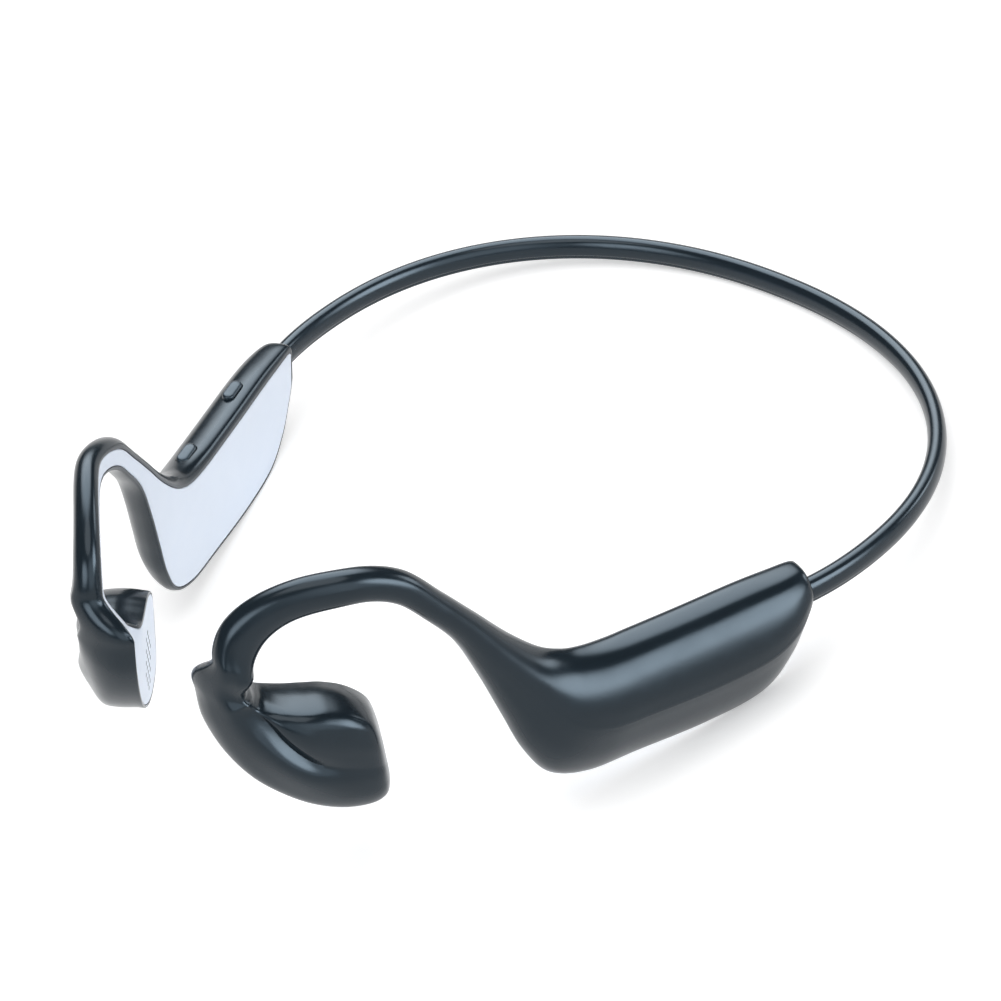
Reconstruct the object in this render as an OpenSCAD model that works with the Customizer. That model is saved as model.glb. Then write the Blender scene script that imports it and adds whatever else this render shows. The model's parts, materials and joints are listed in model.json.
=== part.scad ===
// Bone conduction headphones: two modules joined by a sprung neckband.
// Design frame: x to the wearer's left, y to the back, z up, band and boxes level.
// Every outline point is given as [u, z]: u is the distance in front of the band ends, z the height.

/* [Modules] */
// Distance of each inner face inside the middle of the band where the band enters
band_inset = 1.55; // [1.45:0.05:1.65]
// Angle by which each box closes in towards the front
box_yaw = 19.5; // [18.5:0.5:20]
// Sideways lean of the inner faces, for each mm of height
lean = 0.125; // [0.11:0.005:0.14]
// Depth of the box at its middle
box_depth = 8.2; // [8:0.1:8.8]
// Depth of the ear hook tube
tube_depth = 4.1; // [4:0.1:4.6]
// Depth of the pod at its middle
pod_depth = 8.9; // [8.6:0.1:9.3]
// Shell wall
wall = 1.1; // [1:0.05:1.2]
// Dark rim left round the pale cover plate
rim = 0.5; // [0.4:0.05:0.6]
// How much wider the rim is along the top of the box
rim_top = 0.45; // [0.3:0.05:0.6]
// Thickness of the pale cover plate
cover_t = 0.9; // [0.8:0.05:1]

/* [Neckband] */
// Half width of the band's centre line
band_half = 56.1; // [55.8:0.1:56.4]
// Reach of the band behind its widest place
band_reach = 48.5; // [45:0.5:52]
// Height of the band sleeve
band_h = 4.1; // [3.9:0.1:4.3]
// Thickness of the band sleeve
band_w = 3.0; // [2.8:0.1:3.1]
// Diameter of the spring wire in the sleeve
spring_d = 1.0; // [0.9:0.05:1]

/* [Controls] */
// Length of a volume button
button_l = 4.8; // [4.2:0.1:5.2]
// Width of a volume button
button_w = 2.1; // [1.8:0.1:2.3]
// Height of a button above the shell
button_up = 0.9; // [0.7:0.1:1.1]
// Press travel of a button
button_travel = 0.35; // [0.3:0.05:0.4]
// Width of the charge port flap
flap_l = 11.4; // [11:0.2:12]

/* [Sound] */
// Diameter of the driver in each pod
driver_d = 11.4; // [11:0.1:11.8]
// Diameter of one grille hole
grille_d = 0.8; // [0.6:0.1:0.9]

/* [Fits] */
// Clearance round moving parts
run_gap = 0.1; // [0.08:0.02:0.12]
// Clearance round fixed parts that slip in
slip_gap = 0.05; // [0.04:0.01:0.06]

/* [Hidden] */
eps = 0.01;
rest_tilt = 10.68;
pod_yaw = 39.35;
hook_yaw = 45.85;
band_z = 1.35;
band_y = 10.1;
band_power = 2.15;
in_socket = 5;
// The cover's rings stand this part of a row off the shell's rings, so that none of their edges meet.
seat_step = 0.03;
band_start = -14;
// Each module hangs on its end of the band: the inner face and the place where u is 0 follow that end.
face_half = band_xy(band_start)[0] - band_inset;
module_y = band_xy(band_start)[1] + 2.85;
// The rows of the pod are drawn for this driver, and grow outward with a larger one.
drawn_for = 11.4;
pod_middle = [72.2, 1.4];

// Rows along each module from the rear of the box to the rear of the pod:
// [outer edge u, z, inner edge u, z, part of the depth, kind weights box, leg, tube, pod]
rows = [
    [2.8, 4.9, 2.9, -2.2, 0.59, 1, 0, 0, 0],
    [4, 5.4, 4.4, -5.4, 0.74, 1, 0, 0, 0],
    [7.5, 5.5, 7.2, -10.4, 0.9, 1, 0, 0, 0],
    [13, 5.6, 12, -14.1, 0.98, 1, 0, 0, 0],
    [22, 5.5, 21, -15.1, 1, 1, 0, 0, 0],
    [30, 5.5, 33, -14.6, 1, 0.9, 0.1, 0, 0],
    [34.5, 5.5, 40.8, -13.9, 1, 0.7, 0.3, 0, 0],
    [38.5, 5.9, 46.4, -11, 0.96, 0.4, 0.6, 0, 0],
    [41.5, 6.9, 49.4, -5.4, 0.88, 0.1, 0.9, 0, 0],
    [44.8, 9.3, 51.3, 1.5, 0.8, 0, 1, 0, 0],
    [48.8, 13.8, 53.3, 9.1, 0.71, 0, 0.75, 0.25, 0],
    [52.8, 19.3, 55.8, 16.6, 0.62, 0, 0.35, 0.65, 0],
    [56.6, 24.3, 59.4, 22.3, 0.57, 0, 0.1, 0.9, 0],
    [61, 29.7, 62.8, 26.5, 0.52, 0, 0, 1, 0],
    [66.4, 32.6, 66.8, 28.7, 0.48, 0, 0, 1, 0],
    [71.7, 32.9, 70.8, 28.8, 0.46, 0, 0, 1, 0],
    [76.6, 31.1, 74.5, 27.7, 0.46, 0, 0, 1, 0],
    [80.3, 27.8, 77.4, 25.3, 0.48, 0, 0, 1, 0],
    [82.3, 23.6, 79.2, 22, 0.52, 0, 0, 0.9, 0.1],
    [82.8, 19.4, 79.8, 18.7, 0.6, 0, 0, 0.5, 0.5],
    [82.8, 15.4, 79.3, 15.6, 0.8, 0, 0, 0.2, 0.8],
    [82.8, 10.4, 77.2, 13.4, 0.95, 0, 0, 0, 1],
    [82, 4.7, 75.6, 12.5, 1, 0, 0, 0, 1],
    [79.8, -0.4, 73.7, 11.9, 1, 0, 0, 0, 1],
    [75.7, -4.7, 71.6, 11.5, 1, 0, 0, 0, 1],
    [71, -7.5, 69.4, 11, 1, 0, 0, 0, 1],
    [67.4, -8.2, 66.9, 9.6, 0.98, 0, 0, 0, 1],
    [65.3, -7.3, 64.9, 7, 0.88, 0, 0, 0, 1],
    [64.4, -5.5, 64.3, 3.2, 0.6, 0, 0, 0, 1]
];

// Section shapes: [place across from outer to inner edge, part of the depth]
box_section = [[0, 0], [-0.036, 0.08], [-0.045, 0.25], [-0.02, 0.5], [0.02, 0.67], [0.09, 0.8],
    [0.2, 0.92], [0.36, 1], [0.5, 0.94], [0.57, 0.84], [0.75, 0.56], [0.9, 0.26], [0.99, 0.05], [1, 0]];
leg_section = [[0, 0], [-0.06, 0.1], [-0.09, 0.25], [-0.07, 0.45], [0, 0.66], [0.1, 0.83],
    [0.22, 0.95], [0.36, 1], [0.52, 0.98], [0.7, 0.92], [0.88, 0.79], [0.98, 0.57], [1.03, 0.25], [1, 0]];
tube_section = [[0, 0], [-0.15, 0.14], [-0.22, 0.3], [-0.22, 0.5], [-0.14, 0.72], [0.04, 0.9],
    [0.26, 0.98], [0.5, 1], [0.74, 0.95], [0.95, 0.83], [1.08, 0.64], [1.12, 0.42], [1.08, 0.18], [1, 0]];
pod_section = [[0, 0], [0.01, 0.12], [0.01, 0.37], [0.04, 0.62], [0.13, 0.81], [0.28, 0.89],
    [0.45, 0.92], [0.58, 0.97], [0.7, 1], [0.82, 0.99], [0.93, 0.94], [1, 0.79], [1.03, 0.4], [1, 0]];

// Inner face of the left module: x at a given u and z.
function blend_min(a, b, soft) = (a + b) / 2 - sqrt(pow((a - b) / 2, 2) + soft * soft);
function ramp(q) = let (c = min(1, max(0, q))) c * c * (3 - 2 * c);
function hook_line(u) = face_half + 46.5 - tan(hook_yaw) * u;
function box_line(u) = face_half - tan(box_yaw) * u;
function pod_line(u) = face_half + 22.9 - tan(pod_yaw) * u;
function step_in(u, z) = u < 61 ? 0 : ramp((18.5 + 0.95 * max(u - 78.6, 0) - z) / 6.4);
function upper_line(u) = blend_min(box_line(u), hook_line(u), 0.8);
function face_x(u, z) = let (a = upper_line(u), b = pod_line(u)) a + (b - a) * step_in(u, z) - lean * z;
function face_point(u, z) = [face_x(u, z), module_y - u, z];

// Outward direction at a row, from its place along the module.
function row_yaw(u, z) = let (top = u < 61 ? box_yaw : box_yaw + (hook_yaw - box_yaw) * ramp((u - 61) / 16))
    top + (pod_yaw - top) * step_in(u, z);
function out_dir(yaw) = let (d = [cos(yaw), -sin(yaw), lean * cos(yaw)]) d / norm(d);

// Smooth curve through the rows.
function pick(list, i) = list[min(len(list) - 1, max(0, i))];
function spline(list, x) = let (
        i = min(len(list) - 2, floor(x)),
        q = x - i,
        a = pick(list, i - 1), b = pick(list, i), c = pick(list, i + 1), d = pick(list, i + 2))
    b + q * ((c - a) / 2 + q * ((a - 2.5 * b + 2 * c - d / 2) + q * ((3 * (b - c) + d - a) / 2)));
function away(u, z, by) = let (d = [u, z] - pod_middle) [u, z] + by * d / norm(d);
function grown(r) = let (
        by = r[8] * (driver_d - drawn_for) / 2,
        a = away(r[0], r[1], by),
        b = away(r[2], r[3], by))
    [a[0], a[1], b[0], b[1], r[4], r[5], r[6], r[7], r[8]];
function row_at(x) = grown(spline(rows, x));
function depth_at(r) = r[4] * ((r[5] + r[6]) * box_depth + r[7] * tube_depth / 0.5 + r[8] * pod_depth);
function section_point(r, k) = r[5] * box_section[k] + r[6] * leg_section[k] + r[7] * tube_section[k]
    + r[8] * pod_section[k];

// A point of a row: across 0 at the outer edge and 1 at the inner edge, out = mm outward.
function row_point(r, across, out) = let (
        a = face_point(r[0], r[1]),
        b = face_point(r[2], r[3]),
        n = out_dir(row_yaw((r[0] + r[2]) / 2, (r[1] + r[3]) / 2)))
    a + across * (b - a) + out * n;
function row_width(r) = norm(face_point(r[0], r[1]) - face_point(r[2], r[3]));
function shell_ring(r) = [for (k = [0 : 13]) let (s = section_point(r, k))
    row_point(r, s[0], s[1] * depth_at(r))];

// Ring of the cavity: the section drawn in by the wall, thinner in the tube.
function inside_ring(r) = let (
        w = wall * (1 - 0.3 * r[7]),
        grow = 0.5 - (w + rim) / row_width(r),
        d = depth_at(r))
    concat([row_point(r, 0.5 - grow, cover_t / 2)],
        [for (k = [2, 3, 5, 6, 8, 10, 11]) let (s = section_point(r, k))
            row_point(r, 0.5 + (s[0] - 0.5) * 2 * grow, max(cover_t + 0.1, s[1] * (d - w)))],
        [row_point(r, 0.5 + grow, cover_t / 2)]);

// Ring of a flat twin lead that runs along the middle of the module.
function lead_ring(r) = let (w = row_width(r), h = 0.26)
    [for (p = [[-h, 1.45], [-h, 2.25], [0, 2.45], [h, 2.25], [h, 1.45], [0, 1.25]])
        row_point(r, 0.5 + p[0] / w, p[1])];

// Ring of the cover plate and of its seat.
function plate_ring(r, inset, low, high) = let (
        w = row_width(r),
        top = (inset + rim_top * r[5]) / w,
        e = inset / w)
    [row_point(r, top, low), row_point(r, top, high), row_point(r, 1 - e, high), row_point(r, 1 - e, low)];

// Solid through a list of rings that all have the same number of points.
module loft(rings) {
    n = len(rings[0]);
    m = len(rings);
    polyhedron(
        points = [for (ring = rings) each ring],
        faces = concat(
            [[for (k = [n - 1 : -1 : 0]) k]],
            [for (i = [0 : m - 2]) for (k = [0 : n - 1]) [i * n + k, i * n + (k + 1) % n, (i + 1) * n + k]],
            [for (i = [0 : m - 2]) for (k = [0 : n - 1])
                [i * n + (k + 1) % n, (i + 1) * n + (k + 1) % n, (i + 1) * n + k]],
            [[for (k = [0 : n - 1]) (m - 1) * n + k]]),
        convexity = 12);
}

// Where things sit: x towards the rear, y up, z outward, on the inner face at [u, z].
module at_face(u, z, yaw) {
    translate(face_point(u, z))
        rotate([0, 0, -yaw])
            rotate([90, 0, 90])
                rotate([-atan(lean * cos(yaw)), 0, 0])
                    children();
}
module at_box(u, z) {
    at_face(u, z, box_yaw) children();
}
module at_pod() {
    at_face(pod_middle[0], pod_middle[1], pod_yaw) children();
}
// The lower flank of the box, z square to the flank.
module at_flank() {
    at_box(port_u, -10.8)
        translate([0, 0, 3.9])
            rotate([39, 0, 0])
                children();
}
// The end of the neckband, z into the module, x outward, y up.
module at_band_end() {
    translate([band_xy(band_start)[0], band_xy(band_start)[1], band_z])
        rotate([0, 0, -end_yaw])
            rotate([90, 0, 0])
                children();
}
// Builds on the left, or mirrored on the right, and lays it on its resting place.
module placed(side = 1) {
    translate([0, rest_y, rest_z])
        rotate([-rest_tilt, 0, 0])
                if (side > 0) children();
                else mirror([1, 0, 0]) children();
}

// Neckband path: a rounded arch at one height, straight inside the modules.
function band_xy(a) = [band_half * sign(cos(a)) * pow(abs(cos(a)), 2 / band_power),
    band_y + band_reach * sign(sin(a)) * pow(abs(sin(a)), 2 / band_power)];
function band_way(a) = let (d = band_xy(a + 0.2) - band_xy(a - 0.2)) d / norm(d);
end_yaw = atan2(band_way(band_start)[0], band_way(band_start)[1]);
band_angles = [for (i = [0 : 48]) band_start + (180 - 2 * band_start) * i / 48];
// A section point [outward, up] carried to one place on the path.
function band_point(a, p) = let (c = band_xy(a), d = band_way(a))
    [c[0] + d[1] * p[0], c[1] - d[0] * p[0], band_z + p[1]];
function end_point(side, run, p) = let (c = band_xy(band_start), d = -band_way(band_start))
    [side * (c[0] + d[0] * run - d[1] * p[0]), c[1] + d[1] * run + d[0] * p[0], band_z + p[1]];
function band_rings(section, run) = concat(
    run > 0 ? [[for (p = section) end_point(1, run, p)]] : [],
    [for (a = band_angles) [for (p = section) band_point(a, p)]],
    run > 0 ? [[for (p = section) end_point(-1, run, p)]] : []);
function circle_section(r, n, at) = [for (k = [0 : n - 1])
    [at[0] + r * cos(360 * (k + 0.5) / n), at[1] + r * sin(360 * (k + 0.5) / n)]];
module band_sweep(section, run) {
    loft(band_rings(section, run));
}

// Neckband sections: [outward, up].
bw = band_w / 2;
bh = band_h / 2;
sleeve_section = [[bw, 0], [bw * 0.94, bh * 0.42], [bw * 0.72, bh * 0.66], [bw * 0.6, bh * 0.62],
    [bw * 0.5, bh * 0.9], [bw * 0.15, bh], [-bw * 0.4, bh * 0.92], [-bw * 0.85, bh * 0.6], [-bw, 0],
    [-bw * 0.8, -bh * 0.68], [-bw * 0.3, -bh], [bw * 0.3, -bh], [bw * 0.8, -bh * 0.68]];
channel_section = [[0.58, -0.65], [0.58, 0.7], [0.35, 0.95], [-0.35, 0.95], [-0.58, 0.7],
    [-0.58, -0.65], [-0.3, -1.05], [0.3, -1.05]];
neck_r = 1.4;
spring_at = [0, -0.48];

port_u = 26;
button_places = [18, 34.6];
button_out = 3.3;
rest_y = 11.84;
rest_z = 11.631;
clamp_t = 3;
screw_r = 0.55;
driver_top = cover_t + 3.9;
battery_u = 27;
battery_z = -2.2;
board_u = 26;
board_z = -2.6;
board_top = 2.3;
board_screw_at = [[-10.6, -3.4], [10.6, -3.2]];
mic_at = [6.1, -2.4];
can_at = [-6.9, -0.3];
light_at = [8, -4];
light_r = 0.6;
light_l = 4;
flap_w = 6.2;
flap_t = 0.9;
flap_gap = 0.15;
button_low = 2;
flange_in = 0.5;
grille_pitch = 1.75;

// Rounded slab in x and y, from z = 0 up.
module slab(l, w, h, r) {
    linear_extrude(h)
        offset(r)
            square([l - 2 * r, w - 2 * r], center = true);
}
// Stadium-shaped slab with true round ends.
module oblong(l, w, h) {
    for (s = [-1, 1])
        translate([s * (l - w) / 2, 0, 0])
            cylinder(d = w, h = h, $fn = 32);
    translate([-(l - w) / 2, -w / 2, 0])
        cube([l - w, w, h]);
}

// ---- shells and covers ----
module shell_blank() {
    loft([for (x = [0 : 0.5 : len(rows) - 1]) shell_ring(row_at(x))]);
}
module cover_seat() {
    loft([for (x = [0.3, 0.5, 1, 1.5, 2, 3, 4, 5, 6, 7, 8, 9, 10, 11, 12, 13, 14, 15, 16, 17, 18, 18.5, 19,
        19.5, 20, 20.5, 21, 22, 23, 24, 25, 26, 26.5, 27, 27.4, 27.7]) plate_ring(row_at(x + seat_step), rim, -0.6, cover_t)]);
}
module cover_blank() {
    loft([for (x = [0.36, 0.5, 1, 1.5, 2, 3, 4, 5, 6, 7, 8, 9, 10, 11, 12, 13, 14, 15, 16, 17, 18, 18.5, 19,
        19.5, 20, 20.5, 21, 22, 23, 24, 25, 26, 26.5, 27, 27.4, 27.64])
            plate_ring(row_at(x + seat_step), rim + slip_gap, 0, cover_t)]);
}
module cavity() {
    loft([for (x = [1.6, 2, 3, 4, 5, 6, 7, 8, 9, 10, 11, 12, 13, 14, 15, 16, 17, 18, 18.5, 19, 19.5, 20,
        20.5, 21, 22, 23, 24, 25, 26, 26.6]) inside_ring(row_at(x))]);
}
module band_socket() {
    at_band_end() {
        translate([0, 0, -3])
            cylinder(r = neck_r + slip_gap, h = in_socket + 3, $fn = 40);
        translate([spring_at[0] - 0.8, spring_at[1] - 0.8, in_socket - eps])
            cube([1.6, 2.4, 3]);
    }
}
module clamp_boss() {
    at_band_end()
        translate([clamp_t / 2, -1.95, in_socket + 2.6])
            rotate([0, 90, 0])
                cylinder(r = 1.4, h = 3, $fn = 32);
}
module clamp_hole() {
    at_band_end()
        translate([clamp_t / 2 - eps, -1.95, in_socket + 2.6])
            rotate([0, 90, 0])
                cylinder(r = screw_r, h = 1.6, $fn = 32);
}
module driver_pocket() {
    at_pod()
        cylinder(d = driver_d + 2 * slip_gap, h = driver_top + slip_gap, $fn = 64);
}
module driver_posts() {
    at_pod()
        for (post = [[90, 3.4], [210, 2.2], [330, 2.7]])
            rotate([0, 0, post[0]])
                translate([driver_d / 2 - 1.6, 0, driver_top])
                    cylinder(r = 0.8, h = post[1], $fn = 24);
}
module shell_solid() {
    difference() {
        union() {
            difference() {
                shell_blank();
                cavity();
            }
            intersection() {
                shell_blank();
                union() {
                    clamp_boss();
                    driver_posts();
                    children();
                }
            }
        }
        cover_seat();
        driver_pocket();
        band_socket();
        clamp_hole();
    }
}

// Posts that carry the circuit board, and the thick patch behind the charge port flap.
module board_posts() {
    at_box(board_u, board_z)
        for (p = board_screw_at)
            translate([p[0], p[1], board_top])
                cylinder(r = 1.4, h = 8, $fn = 32);
}
module port_patch() {
    at_flank()
        translate([0, 0, -2.3])
            slab(flap_l + 2.4, flap_w + 2, 4, 1);
}
module port_opening() {
    at_flank()
        translate([0, 0, -flap_t])
            slab(flap_l + 2 * flap_gap, flap_w + 2 * flap_gap, 4, 1);
    at_box(port_u, -7.2)
        translate([0, 6.8, board_top + 1.6])
            rotate([90, 0, 0])
                oblong(9.2 + 2 * run_gap, 3.2 + 2 * run_gap, 19);
}
module button_slots() {
    for (u = button_places)
        at_box(u, 5.2)
            translate([0, 6, button_out])
                rotate([90, 0, 0])
                    oblong(button_l + 2 * run_gap, button_w + 2 * run_gap, 8);
}
module small_holes() {
    at_box(board_u, board_z) {
        translate([mic_at[0], mic_at[1], board_top + 1])
            cylinder(r = 0.45, h = 8, $fn = 24);
        translate([light_at[0], light_at[1], board_top + 1])
            cylinder(r = light_r + slip_gap, h = 8, $fn = 32);
    }
}
module board_pilot_holes() {
    at_box(board_u, board_z)
        for (p = board_screw_at)
            translate([p[0], p[1], board_top - eps])
                cylinder(r = screw_r, h = 2.6, $fn = 32);
}

module left_shell() {
    color([0.20, 0.24, 0.28])
        placed()
            shell_solid();
}
module right_shell() {
    color([0.20, 0.24, 0.28])
        placed(-1)
            difference() {
                shell_solid() {
                    board_posts();
                    port_patch();
                }
                port_opening();
                button_slots();
                small_holes();
                board_pilot_holes();
            }
}
module cover_plate() {
    difference() {
        cover_blank();
        at_pod()
            for (row = [-3 : 3])
                for (col = [-3 : 3])
                    let (x = (col + (row % 2 == 0 ? 0 : 0.5)) * grille_pitch, y = row * grille_pitch * 0.866)
                        if (pow(x / 3.7, 2) + pow(y / 5.6, 2) <= 1)
                            translate([x, y, -1])
                                cylinder(d = grille_d, h = 3, $fn = 16);
    }
}
module left_cover() {
    color([0.86, 0.90, 0.95])
        placed()
            cover_plate();
}
module right_cover() {
    color([0.86, 0.90, 0.95])
        placed(-1)
            cover_plate();
}

// ---- neckband ----
module band_neck() {
    at_band_end()
        translate([0, 0, -1])
            cylinder(r = neck_r, h = in_socket + 1, $fn = 40);
}
module band_sleeve() {
    color([0.19, 0.24, 0.27])
        placed()
            difference() {
                union() {
                    band_sweep(sleeve_section, 0);
                    band_neck();
                    mirror([1, 0, 0])
                        band_neck();
                }
                band_sweep(channel_section, in_socket + 1);
            }
}
module spring_wire() {
    color([0.75, 0.75, 0.74])
        placed()
            band_sweep(circle_section(spring_d / 2, 8, spring_at), in_socket + 4.6);
}
module band_leads() {
    color([0.65, 0.12, 0.10])
        placed()
            for (s = [-1, 1])
                band_sweep(circle_section(0.2, 6, [s * 0.24, 0.4]), in_socket + 1.6);
}

// ---- clamp and lead in each module ----
module clamp_block() {
    at_band_end()
        difference() {
            translate([-clamp_t / 2, -3.1, in_socket + 0.4])
                cube([clamp_t, 3.3, 4.4]);
            translate([spring_at[0], spring_at[1], in_socket])
                cylinder(d = spring_d + 2 * slip_gap, h = 6, $fn = 32);
            translate([-3, -1.95, in_socket + 2.6])
                rotate([0, 90, 0])
                    cylinder(r = screw_r + slip_gap, h = 6, $fn = 32);
        }
}
module clamp_screw() {
    at_band_end()
        translate([-clamp_t / 2, -1.95, in_socket + 2.6])
            rotate([0, 90, 0])
                union() {
                    translate([0, 0, -0.4])
                        cylinder(r = 1.1, h = 0.4, $fn = 32);
                    cylinder(r = screw_r, h = clamp_t + 1.4, $fn = 32);
                }
}
module driver_lead() {
    loft([for (x = [6.5, 7, 8, 9, 10, 11, 12, 13, 14, 15, 16, 17, 18, 18.5, 19, 19.5, 20])
        lead_ring(row_at(x))]);
}
module left_clamp() {
    color([0.35, 0.36, 0.37])
        placed()
            clamp_block();
}
module right_clamp() {
    color([0.35, 0.36, 0.37])
        placed(-1)
            clamp_block();
}
module left_clamp_screw() {
    color([0.72, 0.73, 0.74])
        placed()
            clamp_screw();
}
module right_clamp_screw() {
    color([0.72, 0.73, 0.74])
        placed(-1)
            clamp_screw();
}
module left_lead() {
    color([0.65, 0.12, 0.10])
        placed()
            driver_lead();
}
module right_lead() {
    color([0.65, 0.12, 0.10])
        placed(-1)
            driver_lead();
}

// ---- driver in each pod ----
module basket_shape() {
    at_pod()
        difference() {
            translate([0, 0, cover_t + 0.4])
                cylinder(d = driver_d, h = driver_top - cover_t - 0.4, $fn = 64);
            translate([0, 0, 0])
                cylinder(d = driver_d - 1.2, h = driver_top - 0.7, $fn = 64);
        }
}
module magnet_shape() {
    at_pod()
        translate([0, 0, cover_t + 1.7])
            cylinder(r = 2.9, h = driver_top - 0.7 - cover_t - 1.7, $fn = 48);
}
module coil_shape() {
    at_pod()
        translate([0, 0, cover_t + 1.2])
            difference() {
                cylinder(r = 3.6, h = 1.8, $fn = 48);
                translate([0, 0, -1])
                    cylinder(r = 3.1, h = 4, $fn = 48);
            }
}
module diaphragm_shape() {
    at_pod()
        translate([0, 0, cover_t + 0.7])
            cylinder(d = driver_d - 1.4, h = 0.5, $fn = 64);
}
module gasket_shape() {
    at_pod()
        translate([0, 0, cover_t])
            difference() {
                cylinder(d = driver_d, h = 0.4, $fn = 64);
                translate([0, 0, -1])
                    cylinder(d = driver_d - 1.2, h = 3, $fn = 64);
            }
}
module mesh_shape() {
    at_pod()
        translate([0, 0, cover_t])
            cylinder(d = driver_d - 1.4, h = 0.15, $fn = 64);
}
module left_basket() {
    color([0.45, 0.46, 0.47])
        placed()
            basket_shape();
}
module right_basket() {
    color([0.45, 0.46, 0.47])
        placed(-1)
            basket_shape();
}
module left_magnet() {
    color([0.62, 0.63, 0.65])
        placed()
            magnet_shape();
}
module right_magnet() {
    color([0.62, 0.63, 0.65])
        placed(-1)
            magnet_shape();
}
module left_coil() {
    color([0.72, 0.42, 0.22])
        placed()
            coil_shape();
}
module right_coil() {
    color([0.72, 0.42, 0.22])
        placed(-1)
            coil_shape();
}
module left_diaphragm() {
    color([0.80, 0.80, 0.78])
        placed()
            diaphragm_shape();
}
module right_diaphragm() {
    color([0.80, 0.80, 0.78])
        placed(-1)
            diaphragm_shape();
}
module left_gasket() {
    color([0.12, 0.12, 0.13])
        placed()
            gasket_shape();
}
module right_gasket() {
    color([0.12, 0.12, 0.13])
        placed(-1)
            gasket_shape();
}
module left_mesh() {
    color([0.30, 0.31, 0.33])
        placed()
            mesh_shape();
}
module right_mesh() {
    color([0.30, 0.31, 0.33])
        placed(-1)
            mesh_shape();
}

// ---- left box: battery ----
module battery() {
    color([0.78, 0.79, 0.80])
        placed()
            at_box(battery_u, battery_z)
                translate([0, 0, cover_t + 0.6])
                    slab(21, 9, 3.7, 1);
}
module battery_foam() {
    color([0.20, 0.20, 0.20])
        placed()
            at_box(battery_u, battery_z)
                translate([0, 0, cover_t + slip_gap])
                    slab(17, 7, 0.6 - slip_gap, 0.8);
}

// ---- right box: electronics ----
module main_board() {
    color([0.10, 0.32, 0.20])
        placed(-1)
            at_box(board_u, board_z)
                translate([0, 0, board_top - 0.8])
                    difference() {
                        slab(24.4, 10.6, 0.8, 0.6);
                        for (p = board_screw_at)
                            translate([p[0], p[1], -1])
                                cylinder(r = screw_r + slip_gap, h = 3, $fn = 32);
                    }
}
module board_screws() {
    color([0.72, 0.73, 0.74])
        placed(-1)
            at_box(board_u, board_z)
                for (p = board_screw_at)
                    translate([p[0], p[1], board_top - 0.8]) {
                        translate([0, 0, -0.45])
                            cylinder(r = 1.1, h = 0.45, $fn = 32);
                        cylinder(r = screw_r, h = 2.8, $fn = 32);
                    }
}
module radio_chip() {
    color([0.08, 0.08, 0.09])
        placed(-1)
            at_box(board_u, board_z)
                translate([can_at[0] - 1.6, can_at[1] - 1.6, board_top])
                    cube([3.2, 3.2, 0.7]);
}
module shield_can() {
    color([0.78, 0.79, 0.80])
        placed(-1)
            at_box(board_u, board_z)
                translate([can_at[0], can_at[1], board_top])
                    difference() {
                        translate([-2.1, -2.4, 0])
                            cube([4.2, 4.8, 1.3]);
                        translate([-1.85, -2.15, -1])
                            cube([3.7, 4.3, 2.05]);
                    }
}
module antenna() {
    color([0.90, 0.90, 0.88])
        placed(-1)
            at_box(board_u, board_z)
                translate([-12.1, 0.3, board_top])
                    cube([1.2, 3, 0.9]);
}
module usb_socket() {
    color([0.75, 0.76, 0.77])
        placed(-1)
            at_box(port_u, -7.2)
                translate([0, 0, board_top + 1.6])
                    rotate([-90, 0, 0])
                        difference() {
                            oblong(8.9, 3.2, 6.6);
                            translate([0, 0, -1])
                                difference() {
                                    oblong(8.3, 2.6, 6);
                                    translate([-3.3, -0.35, 1.6])
                                        cube([6.6, 0.7, 6]);
                                }
                        }
}
module tact_switches() {
    color([0.16, 0.16, 0.17])
        placed(-1)
            for (u = button_places)
                at_box(u, 5.2)
                    translate([-1.7, -button_low - button_travel - 1.9, board_top + slip_gap])
                        cube([3.4, 1.85, 2]);
}
module microphone() {
    color([0.80, 0.74, 0.50])
        placed(-1)
            at_box(board_u, board_z)
                translate([mic_at[0] - 0.9, mic_at[1] - 1.3, board_top])
                    cube([1.8, 2.6, 0.9]);
}
module light_pipe() {
    color([0.92, 0.94, 0.95])
        placed(-1)
            at_box(board_u, board_z)
                translate([light_at[0], light_at[1], board_top + 0.3])
                    cylinder(r = light_r, h = light_l, $fn = 32);
}
module port_flap() {
    color([0.14, 0.16, 0.18])
        placed(-1)
            at_flank()
                translate([0, 0, -flap_t + 0.04])
                    slab(flap_l, flap_w, flap_t + 0.1, 0.9);
}

// ---- volume buttons ----
module button_shape(u) {
    at_box(u, 5.2)
        translate([0, 0, button_out])
            rotate([-90, 0, 0])
                union() {
                    translate([0, 0, -button_low])
                        oblong(button_l, button_w, button_low + 0.88 + button_up);
                    translate([0, flange_in, -button_low])
                        oblong(button_l + 1, button_w + 1, 0.5);
                }
}
module volume_up_button() {
    color([0.20, 0.24, 0.28])
        placed(-1)
            button_shape(button_places[0]);
}
module volume_down_button() {
    color([0.20, 0.24, 0.28])
        placed(-1)
            button_shape(button_places[1]);
}

band_sleeve();
spring_wire();
band_leads();
left_shell();
left_cover();
left_clamp();
left_clamp_screw();
left_lead();
left_basket();
left_magnet();
left_coil();
left_diaphragm();
left_gasket();
left_mesh();
battery();
battery_foam();
right_shell();
right_cover();
right_clamp();
right_clamp_screw();
right_lead();
right_basket();
right_magnet();
right_coil();
right_diaphragm();
right_gasket();
right_mesh();
main_board();
board_screws();
radio_chip();
shield_can();
antenna();
usb_socket();
tact_switches();
microphone();
light_pipe();
port_flap();
volume_up_button();
volume_down_button();
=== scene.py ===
"""Open-ear headphones: two moulded modules on a sprung neckband, built on the loaded frame."""
import json
import math
from functools import partial

import bmesh
import bpy
import numpy as np
from mathutils import Matrix, Vector


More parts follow.
